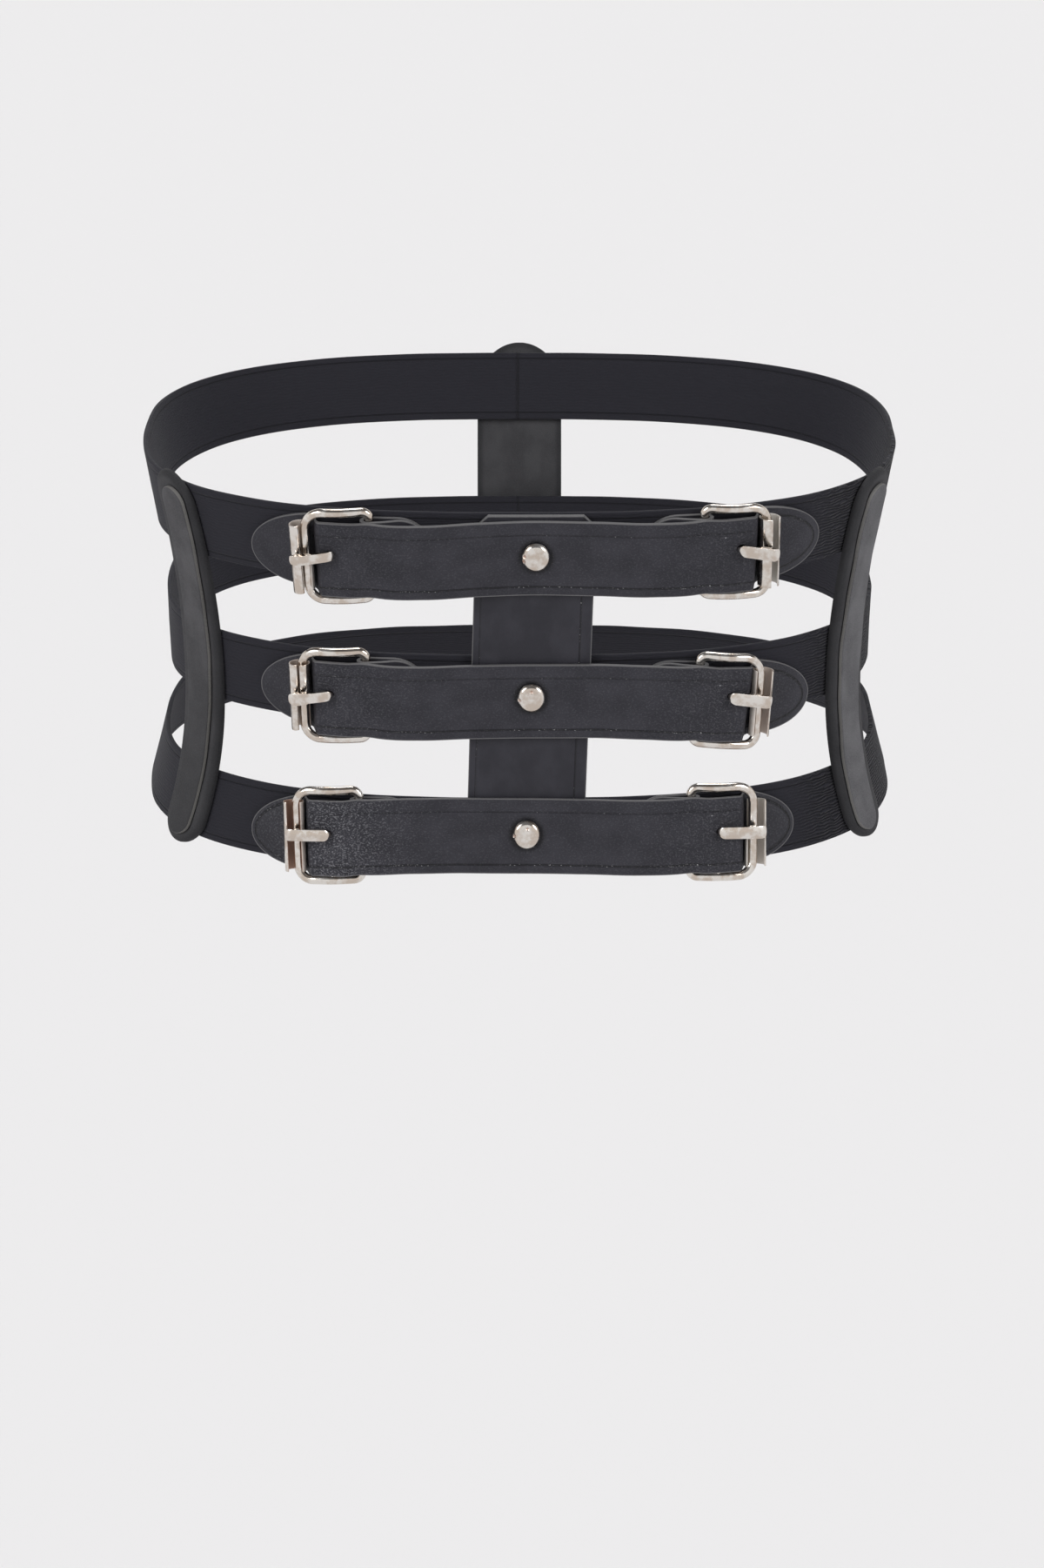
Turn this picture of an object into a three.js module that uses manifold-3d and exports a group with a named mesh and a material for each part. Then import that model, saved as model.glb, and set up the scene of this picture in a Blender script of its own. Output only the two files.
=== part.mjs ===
// A wide cage belt: three elastic bands round the waist, held apart by upright leather tabs,
// with a riveted leather strap and two roller buckles across the front of each band.
// Millimetres, +Z up, the wearer faces -Y. The origin is the middle of the waist opening,
// at the height of the middle band. Left and right are as seen from the front.
import * as THREE from 'three';
import { mergeVertices } from 'three/addons/utils/BufferGeometryUtils.js';
import Module from 'manifold-3d';

const wasm = await Module();
wasm.setup();

// The worn form: a rounded oval that is narrowest at the neck and flares above and below it.
// A flare is what the half width, half depth and backward shift gain at one reach from the neck.
const waist = { halfWidth: 119.2, halfDepth: 86.1, roundness: 2.68, neck: -9, reach: 62 };
const flareAbove = { width: 6.3, depth: 9.3, shift: 7 };
const flareBelow = { width: 12.1, depth: 12.2, shift: 6.1 };

// The rows. Each side has its strap's reach from the rivet to the tip, the buckle's to its outer
// bar, how far the row has sunk below its band at one dropReach from the rivet, and where the
// roller's seam starts and how wide it stands open, in degrees from outward along the belt.
// The prong comes through the strap at rise inside the outer bar and ends at over beyond it.
// The sag is how far the strap hangs below its buckles: halfway left, at the rivet, halfway right.
const rows = [
  {
    name: 'top',
    height: 50,
    lift: -1.2,
    left: { tip: 97, buckle: 74.6, drop: 1.4, seam: 108, open: 120, rise: 8.5, over: 3.1 },
    right: { tip: 98.5, buckle: 75.4, drop: 0.4, seam: 64, open: 38, rise: 9.7, over: 1.3 },
    sag: { left: 1.75, middle: 0.75, right: 1.4 },
  },
  {
    name: 'middle',
    height: 0,
    lift: -0.8,
    left: { tip: 93, buckle: 74.9, drop: 1.2, seam: 92, open: 100, rise: 9.8, over: 2.2 },
    right: { tip: 97.5, buckle: 75.2, drop: 5.4, seam: 76, open: 80, rise: 10.3, over: 0.9 },
    sag: { left: 1.9, middle: 1.6, right: 0.9 },
  },
  {
    name: 'bottom',
    height: -50,
    lift: 1,
    left: { tip: 95.5, buckle: 76.1, drop: 3.4, seam: 62, open: 98, rise: 10.8, over: 1.4 },
    right: { tip: 92.8, buckle: 75.3, drop: 2.3, seam: 100, open: 100, rise: 11.8, over: 1.6 },
    sag: { left: 0.1, middle: 0.75, right: 1.1 },
  },
];
const dropReach = 80;
// Where along the row the sag is stated, and where it has died away
const sagReach = { half: 38, none: 60 };
// The strap also sags inside each outer bar, between these distances in from the bar's axis
const barSag = { depth: 0.4, outer: -1, full: 3, kept: 10, inner: 16 };
// The centre line is worn a little to the right and leans
const centre = { girth: 4, lean: 0.03 };

// Layers, as distances out from the worn form
const gap = 0.35;
const elastic = { height: 24.4, thick: 1.5, segments: 72 };
const frontLeather = { width: 25.6, thick: 1.8, step: 5.5, endLength: 24, endSteps: 7 };
const upright = { out: 1.85, thick: 2, width: 38.4, bottom: -60, top: 63.5, clip: 3.8, shift: -0.5 };
const tab = { out: 2, thick: 2.6, width: 19.4, bottom: -66, top: 66.6 };
const facing = { out: 4.95, thick: 1.4, width: 10.4, bottom: -63, top: 62.6, shift: 1.4 };
const backTab = { out: 2, thick: 2.2, width: 30, bottom: -64, top: 64.5 };
const tabAngles = { left: -62, right: 64.7 };
// Stations along the upright pieces, and round each of their ends
const uprightStep = 8;
const uprightEndSteps = 4;

// Further stations of the front strap where it climbs, as distances in from the outer bar's axis
const climbStations = [0.7, 1.9, 3, 4.1, 5.3];

// One buckle, in its row: distances along the row from its outer bar's axis, and out from the form
const rod = 1.5;
const heelBack = 20.8;
const frame = { height: 33.3, heelOut: 4.95, rollerOut: 7.6, bow: 1.4 };
const frameCorners = { top: 4.8, bottom: 3.8, heel: 2.6 };
const roller = { outer: 3.5, inner: 3.05, length: 22.8, slide: -0.8, steps: 12, offset: 1 };
const chape = { thick: 1.2, width: 24.4, length: 20.6, shoulder: 5, join: 12, step: 5 };
const chapeSlot = { width: 5, length: 11, shift: 1.3 };
// Each prong has slid up its heel bar
const prongUp = 0.6;
const prong = { wide: 3.5, thick: 2.1, eye: 3.1, kneeLift: 0.6, lift: 0.85, nose: 0.5 };
// The knee's outer corner is set back and up, and its inner corner down, in shares of half the prong
const knee = { back: 0.3, up: 1.1, under: 0.7 };
const slot = { length: 4.6, width: 4.5 };
const rivet = { head: 4.75, shank: 1.7, cap: 3.7, capOut: -1.2, sides: 14, clearance: 0.35 };
// The rivet's head: an upright rim, a sloped shoulder and a low crown
const rivetHead = { rim: 0.7, shoulder: 3.4, shoulderUp: 1.9, crown: 2.3 };
// Tools that cut a hole reach this far through the layers
const through = 30;

// How far the front strap's underside stands out, by distance in from the outer bar's axis
const strapRise = [
  { inward: -30, out: 1.9 },
  { inward: 0.7, out: 1.9 },
  { inward: 5.3, out: 8 },
  { inward: 14.5, out: 8.3 },
  { inward: 24.4, out: 8.4 },
  { inward: 38, out: 6.4 },
  { inward: 56, out: 4.9 },
  { inward: 74, out: 4.6 },
  { inward: 90, out: 4.6 },
];

const metal = { color: 0xc9c4bd, roughness: 0.22, metalness: 1 };
const finishes = {
  elastic: new THREE.MeshStandardMaterial({ color: 0x26262c, roughness: 0.9 }),
  strap: new THREE.MeshStandardMaterial({ color: 0x303034, roughness: 0.55 }),
  tab: new THREE.MeshStandardMaterial({ color: 0x45454a, roughness: 0.75 }),
  nickel: new THREE.MeshStandardMaterial(metal),
};

const radians = THREE.MathUtils.degToRad;

// A point of the worn form at an angle round the waist, 0 at the front and growing to the right
function formPoint(angle, height) {
  const flare = height > waist.neck ? flareAbove : flareBelow;
  const grown = ((height - waist.neck) / waist.reach) ** 2;
  const halfWidth = waist.halfWidth + flare.width * grown;
  const halfDepth = waist.halfDepth + flare.depth * grown;
  const across = Math.abs(Math.sin(angle) / halfWidth) ** waist.roundness;
  const deep = Math.abs(Math.cos(angle) / halfDepth) ** waist.roundness;
  const radius = (across + deep) ** (-1 / waist.roundness);
  return new THREE.Vector3(radius * Math.sin(angle), flare.shift * grown - radius * Math.cos(angle), height);
}

// The form's directions at a point: along the girth, up the slope and straight out
function formAxes(angle, height) {
  const small = 1e-3;
  const along = formPoint(angle + small, height).sub(formPoint(angle - small, height)).normalize();
  const slope = formPoint(angle, height + small).sub(formPoint(angle, height - small));
  const out = new THREE.Vector3().crossVectors(along, slope).normalize();
  const up = new THREE.Vector3().crossVectors(out, along);
  return { along, up, out };
}

function formPlace(angle, height, up, out) {
  const axes = formAxes(angle, height);
  return formPoint(angle, height).addScaledVector(axes.up, up).addScaledVector(axes.out, out);
}

// Girth measured along a row, a few millimetres out, as a table that angles are looked up in
const girthOut = 4;
const girthSteps = 720;
for (const row of rows) {
  row.girth = [0];
  let last = formPlace(-Math.PI, row.height, 0, girthOut);
  for (let i = 1; i <= girthSteps; i++) {
    const next = formPlace(-Math.PI + (2 * Math.PI * i) / girthSteps, row.height, 0, girthOut);
    row.girth.push(row.girth[i - 1] + next.distanceTo(last));
    last = next;
  }
  row.centre = centre.girth + centre.lean * row.height;
}

function angleAt(row, distance) {
  const wanted = row.girth[girthSteps / 2] + distance;
  let i = row.girth.findIndex((girth) => girth > wanted);
  i = THREE.MathUtils.clamp(i, 1, girthSteps);
  const part = (wanted - row.girth[i - 1]) / (row.girth[i] - row.girth[i - 1]);
  return -Math.PI + (2 * Math.PI * (i - 1 + part)) / girthSteps;
}

// Where a flat point (along the row from its rivet, up, out) lies once the row is worn
function onRow(row, along, up, out) {
  const drop = along < 0 ? row.left.drop : row.right.drop;
  const sunk = row.lift - drop * (along / dropReach) ** 2;
  const slope = (-2 * drop * along) / dropReach ** 2;
  const angle = angleAt(row, row.centre + along - slope * up);
  return formPlace(angle, row.height, up + sunk, out);
}

// Moves every corner of a geometry and joins the corners that meet
function moved(geometry, place, mirrored = false) {
  const bare = geometry.clone();
  bare.deleteAttribute('normal');
  bare.deleteAttribute('uv');
  const position = bare.attributes.position;
  const corner = new THREE.Vector3();
  for (let i = 0; i < position.count; i++) {
    corner.fromBufferAttribute(position, i);
    position.setXYZ(i, ...place(corner).toArray());
  }
  const merged = mergeVertices(bare, 1e-4);
  const corners = merged.index.array;
  const kept = [];
  for (let i = 0; i < corners.length; i += 3) {
    const [a, b, c] = corners.slice(i, i + 3);
    if (a !== b && b !== c && c !== a) {
      kept.push(...(mirrored ? [b, a, c] : [a, b, c]));
    }
  }
  merged.setIndex(kept);
  return merged;
}

function joined(geometry) {
  return moved(geometry, (corner) => corner);
}

function toSolid(geometry) {
  const vertProperties = Float32Array.from(geometry.attributes.position.array);
  const triVerts = Uint32Array.from(geometry.index.array);
  return new wasm.Manifold(new wasm.Mesh({ numProp: 3, vertProperties, triVerts }));
}

function fromSolid(solid) {
  const mesh = solid.getMesh();
  const geometry = new THREE.BufferGeometry();
  geometry.setAttribute('position', new THREE.BufferAttribute(Float32Array.from(mesh.vertProperties), 3));
  geometry.setIndex(new THREE.BufferAttribute(Uint32Array.from(mesh.triVerts), 1));
  return geometry;
}

function cut(geometry, tools) {
  const solid = tools.reduce((whole, tool) => whole.subtract(toSolid(tool)), toSolid(geometry));
  return fromSolid(solid);
}

const belt = new THREE.Group();

function add(name, geometry, material) {
  geometry.computeVertexNormals();
  const mesh = new THREE.Mesh(geometry, material);
  mesh.name = name;
  belt.add(mesh);
  return mesh;
}

// A flat strip built from a box: columns are the stations along it, each with its half width
function strip(columns, thick, across) {
  const box = new THREE.BoxGeometry(columns.length - 1, 2, thick, columns.length - 1, across, 1);
  return moved(box, (corner) => {
    const column = columns[Math.round(corner.x + (columns.length - 1) / 2)];
    return new THREE.Vector3(column.at, corner.y * column.half, corner.z + thick / 2);
  });
}

// Stations of a strip with elliptical ends; the first station is a short blunt edge
function roundEnded(from, to, half, endLength, endSteps, step) {
  const columns = [];
  const firstTurn = radians(12);
  for (let i = 0; i < endSteps; i++) {
    const turn = firstTurn + ((Math.PI / 2 - firstTurn) * i) / endSteps;
    columns.push({ at: from + endLength * (1 - Math.cos(turn)), half: half * Math.sin(turn) });
  }
  const far = columns.map((column) => ({ at: to + from - column.at, half: column.half })).reverse();
  const straight = to - from - 2 * endLength;
  const count = Math.round(straight / step);
  for (let i = 0; i <= count; i++) {
    columns.push({ at: from + endLength + (straight * i) / count, half });
  }
  return columns.concat(far);
}

// Stations of a strip whose corners are clipped off
function clipEnded(from, to, half, clip, step) {
  const straight = to - from - 2 * clip;
  const count = Math.round(straight / step);
  const columns = [{ at: from, half: half - clip }];
  for (let i = 0; i <= count; i++) {
    columns.push({ at: from + clip + (straight * i) / count, half });
  }
  columns.push({ at: to, half: half - clip });
  return columns;
}

// An upright strip on the form: its length runs up and its width round the girth
function uprightStrip(columns, thick, across, angleOf, out) {
  const flat = strip(columns, thick, across);
  return moved(flat, (corner) => {
    const height = corner.x;
    const angle = angleOf(height, -corner.y);
    return formPlace(angle, height, 0, out + corner.z);
  });
}

// The angle that a short distance round the girth spans, near an angle and at a height
function angleAcross(angle, height, distance) {
  const small = 1e-2;
  const span = formPoint(angle + small, height).distanceTo(formPoint(angle - small, height));
  return (distance * 2 * small) / span;
}

function bandGeometry(row) {
  const half = elastic.height / 2;
  const core = 100;
  const section = new THREE.Path();
  section.moveTo(core, -half);
  section.lineTo(core + elastic.thick, -half);
  section.lineTo(core + elastic.thick, half);
  section.lineTo(core, half);
  section.closePath();
  const ring = new THREE.LatheGeometry(section.getPoints(), elastic.segments);
  return moved(ring, (corner) => {
    const out = Math.hypot(corner.x, corner.z) - core;
    return formPlace(Math.atan2(corner.x, corner.z), row.height, corner.y, out);
  });
}

// A peg along the rivet's axis, for the holes that it passes through
function rivetPeg(row) {
  const radius = rivet.shank + rivet.clearance;
  const peg = new THREE.CylinderGeometry(radius, radius, through, rivet.sides).rotateX(Math.PI / 2);
  return moved(peg, (corner) => rivetPlace(row, corner));
}

function rivetPlace(row, local) {
  const angle = angleAt(row, row.centre);
  const axes = formAxes(angle, row.height);
  const place = onRow(row, 0, 0, 0);
  place.addScaledVector(axes.along, local.x);
  place.addScaledVector(axes.up, local.y);
  return place.addScaledVector(axes.out, local.z);
}

function rivetGeometry(row) {
  const seat = strapOut(rows[0].left.buckle) + frontLeather.thick + gap;
  const profile = [
    { radius: 0, out: rivet.capOut },
    { radius: rivet.cap, out: rivet.capOut },
    { radius: rivet.cap, out: -gap },
    { radius: rivet.shank, out: -gap },
    { radius: rivet.shank, out: seat },
    { radius: rivet.head, out: seat },
    { radius: rivet.head, out: seat + rivetHead.rim },
    { radius: rivetHead.shoulder, out: seat + rivetHead.shoulderUp },
    { radius: 0, out: seat + rivetHead.crown },
  ];
  const points = profile.map(({ radius, out }) => new THREE.Vector2(radius, out));
  const turned = new THREE.LatheGeometry(points, rivet.sides).rotateX(Math.PI / 2);
  return moved(turned, (corner) => rivetPlace(row, corner));
}

// The strap's underside at a distance in from the outer bar's axis, eased between the stations
function strapOut(inward) {
  const next = strapRise.findIndex((station) => station.inward > inward);
  if (next < 0) {
    return strapRise.at(-1).out;
  }
  const a = strapRise[next - 1];
  const b = strapRise[next];
  const part = THREE.MathUtils.smoothstep(inward, a.inward, b.inward);
  return THREE.MathUtils.lerp(a.out, b.out, part);
}

function sagAt(row, along) {
  const { smoothstep, lerp } = THREE.MathUtils;
  const half = along < 0 ? row.sag.left : row.sag.right;
  const reach = Math.abs(along);
  const nearRivet = lerp(row.sag.middle, half, smoothstep(reach, 0, sagReach.half));
  const inward = (along < 0 ? row.left.buckle : row.right.buckle) - reach;
  const { depth, outer, full, kept, inner } = barSag;
  const nearBar = depth * smoothstep(inward, outer, full) * (1 - smoothstep(inward, kept, inner));
  return nearRivet * (1 - smoothstep(reach, sagReach.half, sagReach.none)) + nearBar;
}

function frontStrapGeometry(row) {
  const { width, thick, endLength, endSteps, step } = frontLeather;
  const columns = roundEnded(-row.left.tip, row.right.tip, width / 2, endLength, endSteps, step);
  for (const inward of climbStations) {
    for (const [side, sign] of [[row.left, -1], [row.right, 1]]) {
      const short = 1 - Math.min((side.tip - side.buckle + inward) / endLength, 1);
      columns.push({ at: sign * (side.buckle - inward), half: (width / 2) * Math.sqrt(1 - short * short) });
    }
  }
  columns.sort((a, b) => a.at - b.at);
  return moved(strip(columns, thick, 1), (corner) => {
    const buckle = corner.x < 0 ? row.left.buckle : row.right.buckle;
    const up = corner.y - sagAt(row, corner.x);
    return onRow(row, corner.x, up, strapOut(buckle - Math.abs(corner.x)) + corner.z);
  });
}

// A buckle piece is made flat with x outward from the outer bar's axis, y up and z out
function onBuckle(row, side, geometry) {
  const sign = side === 'left' ? -1 : 1;
  const reach = row[side].buckle;
  return moved(geometry, (corner) => onRow(row, sign * (reach + corner.x), corner.y, corner.z), sign < 0);
}

// Stations round the frame's centre line: straight bars joined by quarter-round corners
function frameLine() {
  const halfUp = frame.height / 2 - rod;
  const corners = [
    { x: 0, y: halfUp, turn: 0, radius: frameCorners.top },
    { x: -heelBack, y: halfUp, turn: 90, radius: frameCorners.heel },
    { x: -heelBack, y: -halfUp, turn: 180, radius: frameCorners.heel },
    { x: 0, y: -halfUp, turn: 270, radius: frameCorners.bottom },
  ];
  const cornerSteps = 4;
  const armParts = [0.4, 0.7];
  const line = [];
  for (const { x, y, turn, radius } of corners) {
    const inX = x - Math.sign(x + heelBack / 2) * radius;
    const inY = y - Math.sign(y) * radius;
    for (let i = 0; i <= cornerSteps; i++) {
      const direction = radians(turn + (90 * i) / cornerSteps);
      const side = new THREE.Vector2(Math.cos(direction), Math.sin(direction));
      line.push({ point: new THREE.Vector2(inX, inY).addScaledVector(side, radius), side });
    }
    if (turn === 0 || turn === 180) {
      const side = new THREE.Vector2(0, Math.sign(y));
      for (const part of turn === 0 ? armParts : armParts.toReversed()) {
        line.push({ point: new THREE.Vector2(-heelBack * part, y), side });
      }
    }
  }
  return line;
}

function frameGeometry() {
  const line = frameLine();
  const core = 10;
  const sides = 8;
  const ring = new THREE.TorusGeometry(core, rod, sides, line.length);
  return moved(ring, (corner) => {
    const turn = Math.atan2(corner.y, corner.x) / (2 * Math.PI);
    const station = line[(Math.round(turn * line.length) + line.length) % line.length];
    const sideways = Math.hypot(corner.x, corner.y) - core;
    const place = station.point.clone().addScaledVector(station.side, sideways);
    const part = -station.point.x / heelBack;
    const bow = frame.bow * Math.sin(Math.PI * THREE.MathUtils.clamp(part, 0, 1));
    const out = THREE.MathUtils.lerp(frame.rollerOut, frame.heelOut, part) + bow;
    return new THREE.Vector3(place.x, place.y, out + corner.z);
  });
}

// A side view drawn as x outward and y out, given its width up and down the belt
function sideExtrude(shape, width, curveSegments = 6) {
  const solid = new THREE.ExtrudeGeometry(shape, { depth: width, bevelEnabled: false, curveSegments });
  return solid.translate(0, 0, -width / 2).rotateX(Math.PI / 2);
}

// The roller is sheet rolled round the outer bar, its seam left open; it has slid down the bar
function rollerGeometry({ seam, open }) {
  const shape = new THREE.Shape();
  const from = radians(seam + open);
  const turn = radians(360 - open);
  for (const [radius, forward] of [[roller.outer, true], [roller.inner, false]]) {
    for (let i = 0; i <= roller.steps; i++) {
      const part = (forward ? i : roller.steps - i) / roller.steps;
      const angle = from + turn * part;
      const x = roller.offset + radius * Math.cos(angle);
      const y = frame.rollerOut + radius * Math.sin(angle);
      if (forward && i === 0) {
        shape.moveTo(x, y);
      } else {
        shape.lineTo(x, y);
      }
    }
  }
  return sideExtrude(shape, roller.length).translate(0, roller.slide, 0);
}

// The prong's side view: an eye round the heel bar, a low shank, a knee up through the strap's
// hole and a straight run out to the roller
function prongGeometry({ rise, over }) {
  const half = prong.thick / 2;
  const kneeX = -rise;
  const lowOut = frame.heelOut - prong.eye + half;
  const kneeOut = strapOut(rise) + frontLeather.thick + gap + half + prong.kneeLift;
  const restOut = frame.rollerOut + roller.outer + prong.lift + half;
  const run = new THREE.Vector2(roller.offset - kneeX, restOut - kneeOut).normalize();
  const side = new THREE.Vector2(-run.y, run.x).multiplyScalar(half);
  const shape = new THREE.Shape();
  shape.absarc(-heelBack, frame.heelOut, prong.eye, radians(-90), radians(-30), true);
  shape.lineTo(kneeX - half, lowOut + half);
  shape.lineTo(kneeX - half, kneeOut);
  shape.lineTo(kneeX - half * knee.back, kneeOut + half * knee.up);
  shape.lineTo(roller.offset + side.x, restOut + side.y);
  shape.lineTo(over, restOut + side.y - prong.nose);
  shape.lineTo(over + prong.nose, restOut - half);
  shape.lineTo(roller.offset - side.x, restOut - side.y);
  shape.lineTo(kneeX + half, kneeOut - half * knee.under);
  shape.lineTo(kneeX + half, lowOut);
  shape.lineTo(kneeX, lowOut - half);
  shape.closePath();
  const hole = new THREE.Path();
  hole.absarc(-heelBack, frame.heelOut, rod + gap, 0, 2 * Math.PI, false);
  shape.holes.push(hole);
  return sideExtrude(shape, prong.wide, 5).translate(0, prongUp, 0);
}

// The chape's side view: leather folded round the heel bar, its two leaves laid together inward
function chapeGeometry() {
  const inner = rod + gap;
  const outer = inner + chape.thick;
  const lower = upright.out;
  const middle = lower + chape.thick;
  const upper = middle + chape.thick;
  const leafEnd = -heelBack - chape.length;
  const join = -heelBack - chape.join;
  const shoulder = -heelBack - chape.shoulder;
  const shape = new THREE.Shape();
  shape.moveTo(leafEnd, lower);
  for (let x = leafEnd + chape.step; x < shoulder; x += chape.step) {
    shape.lineTo(x, lower);
  }
  shape.lineTo(shoulder, lower);
  shape.absarc(-heelBack, frame.heelOut, outer, radians(-90), radians(90), false);
  shape.lineTo(shoulder, frame.heelOut + outer - chape.thick);
  shape.lineTo(join, upper + gap);
  for (let x = join - chape.step; x > leafEnd; x -= chape.step) {
    shape.lineTo(x, upper);
  }
  shape.lineTo(leafEnd, upper);
  shape.closePath();
  const hollow = new THREE.Path();
  hollow.moveTo((join + shoulder) / 2, middle + gap);
  hollow.lineTo(shoulder, frame.heelOut + inner - chape.thick);
  hollow.absarc(-heelBack, frame.heelOut, inner, radians(90), radians(-90), true);
  hollow.lineTo(shoulder, middle);
  hollow.closePath();
  shape.holes.push(hollow);
  const folded = toSolid(joined(sideExtrude(shape, chape.width, 4)));

  // Seen from the front its inward end is rounded
  const half = chape.width / 2;
  const beyond = half + 1;
  const outline = new THREE.Shape();
  outline.moveTo(0, -beyond);
  outline.lineTo(0, beyond);
  outline.lineTo(leafEnd + half, beyond);
  outline.lineTo(leafEnd + half, half);
  outline.absellipse(leafEnd + half, 0, half, half, radians(90), radians(270), false);
  outline.lineTo(leafEnd + half, -beyond);
  outline.closePath();
  const plug = new THREE.ExtrudeGeometry(outline, { depth: through, bevelEnabled: false, curveSegments: 5 });
  const slotBox = new THREE.BoxGeometry(chapeSlot.length, chapeSlot.width, through);
  slotBox.translate(-heelBack + chapeSlot.shift, prongUp, 0);
  return fromSolid(folded.intersect(toSolid(joined(plug))).subtract(toSolid(joined(slotBox))));
}

// The prong's slot through the front strap
function slotGeometry(rise) {
  return new THREE.BoxGeometry(slot.length, slot.width, through).translate(-rise, prongUp, 0);
}

for (const row of rows) {
  const pegs = [rivetPeg(row)];
  add(`elastic_band_${row.name}`, cut(bandGeometry(row), pegs), finishes.elastic);
  for (const side of ['left', 'right']) {
    pegs.push(onBuckle(row, side, slotGeometry(row[side].rise)));
    const end = `${row.name}_${side}`;
    add(`chape_${end}`, onBuckle(row, side, chapeGeometry()), finishes.strap);
    add(`buckle_frame_${end}`, onBuckle(row, side, frameGeometry()), finishes.nickel);
    add(`buckle_roller_${end}`, onBuckle(row, side, rollerGeometry(row[side])), finishes.nickel);
    add(`buckle_prong_${end}`, onBuckle(row, side, prongGeometry(row[side])), finishes.nickel);
  }
  add(`front_strap_${row.name}`, cut(frontStrapGeometry(row), pegs), finishes.strap);
  add(`rivet_${row.name}`, rivetGeometry(row), finishes.nickel);
}

// The centre strap follows the leaning centre line
{
  const columns = clipEnded(upright.bottom, upright.top, upright.width / 2, upright.clip, uprightStep);
  const angleOf = (height, aside) => {
    const girth = centre.girth + centre.lean * height + upright.shift + aside;
    return angleAcross(0, height, girth);
  };
  const geometry = uprightStrip(columns, upright.thick, 3, angleOf, upright.out);
  add('centre_strap', cut(geometry, rows.map(rivetPeg)), finishes.strap);
}

// A round-ended upright piece, its middle at an angle round the waist
function addUpright(name, piece, middle, across) {
  const half = piece.width / 2;
  const columns = roundEnded(piece.bottom, piece.top, half, half, uprightEndSteps, uprightStep);
  const angleOf = (height, aside) => middle + angleAcross(middle, height, aside);
  add(name, uprightStrip(columns, piece.thick, across, angleOf, piece.out), finishes.tab);
}

for (const side of ['left', 'right']) {
  const middle = radians(tabAngles[side]);
  const inward = side === 'left' ? 1 : -1;
  const facingMiddle = middle + angleAcross(middle, waist.neck, inward * facing.shift);
  addUpright(`side_tab_${side}`, tab, middle, 3);
  addUpright(`side_facing_${side}`, facing, facingMiddle, 2);
}
addUpright('back_tab', backTab, Math.PI, 3);

export default belt;
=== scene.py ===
import math

import bpy
import numpy as np
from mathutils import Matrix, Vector


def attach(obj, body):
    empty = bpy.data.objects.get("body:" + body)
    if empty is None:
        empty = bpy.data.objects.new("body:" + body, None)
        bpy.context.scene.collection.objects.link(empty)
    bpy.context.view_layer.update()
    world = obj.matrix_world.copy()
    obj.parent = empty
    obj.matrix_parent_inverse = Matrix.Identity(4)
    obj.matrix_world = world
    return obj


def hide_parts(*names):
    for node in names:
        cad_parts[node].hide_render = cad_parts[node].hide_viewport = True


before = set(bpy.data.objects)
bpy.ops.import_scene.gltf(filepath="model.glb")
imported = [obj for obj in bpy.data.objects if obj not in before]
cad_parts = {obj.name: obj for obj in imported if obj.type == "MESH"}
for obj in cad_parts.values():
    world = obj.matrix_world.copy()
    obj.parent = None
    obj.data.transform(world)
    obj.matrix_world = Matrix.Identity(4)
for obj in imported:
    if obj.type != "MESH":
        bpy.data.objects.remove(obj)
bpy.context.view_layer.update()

print("frame loaded:", len(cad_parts), "nodes")

# Pieces are cut and shaped flat, in millimetres, then laid round the worn form in metres.
toMetres = 0.001
layerGap = 0.35
signs = {"left": -1, "right": 1}

# The worn form: a rounded oval, narrowest at the neck and flaring above and below it
waist = {"halfWidth": 119.2, "halfDepth": 86.1, "roundness": 2.68, "neck": -9, "reach": 62}
flareAbove = {"width": 6.3, "depth": 9.3, "shift": 7}
flareBelow = {"width": 12.1, "depth": 12.2, "shift": 6.1}
centreLine = {"girth": 4, "lean": 0.03}

# Each row's place and how far its strap sags. At each end: how far along the row the strap's tip
# and the buckle's outer bar are, how far the row drops there, how far inside the bar the prong
# comes up through the strap, and how far over it the prong ends.
dropReach = 80
rows = {
    "top": {
        "height": 50, "lift": -1.2, "sag": {"left": 1.75, "middle": 0.75, "right": 1.4},
        "left": {"tip": 96.3, "buckle": 74.6, "drop": 1.4, "rise": 9.1, "over": 2.6},
        "right": {"tip": 98.5, "buckle": 75.4, "drop": 0.4, "rise": 10, "over": 1},
    },
    "middle": {
        "height": 0, "lift": -0.8, "sag": {"left": 1.9, "middle": 1.6, "right": 0.9},
        "left": {"tip": 92.4, "buckle": 74.9, "drop": 1.2, "rise": 9.8, "over": 1.9},
        "right": {"tip": 97.5, "buckle": 75.2, "drop": 5.4, "rise": 10.8, "over": 0.9},
    },
    "bottom": {
        "height": -50, "lift": 1, "sag": {"left": 0.1, "middle": 0.75, "right": 1.1},
        "left": {"tip": 94.9, "buckle": 76.1, "drop": 3.4, "rise": 11.3, "over": 1},
        "right": {"tip": 92.8, "buckle": 75.3, "drop": 2.3, "rise": 12.1, "over": 1.3},
    },
}
sagReach = {"half": 38, "none": 60}
barSag = {"depth": 0.7, "outer": -1, "full": 3, "kept": 15, "inner": 22}


def asPoints(*axes):
    return np.stack(axes, axis=-1)


def unit(vectors):
    return vectors / np.linalg.norm(vectors, axis=-1, keepdims=True)


def smooth(low, high, value):
    part = np.clip((value - low) / (high - low), 0, 1)
    return part * part * (3 - 2 * part)


def bell(distance, reach):
    return np.exp(-(distance / reach) ** 2)


# How far each point of a path is from its start
def runsOf(path):
    return np.concatenate([[0], np.cumsum(np.linalg.norm(np.diff(path, axis=0), axis=1))])


def pathLength(path):
    return float(runsOf(path)[-1])


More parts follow.
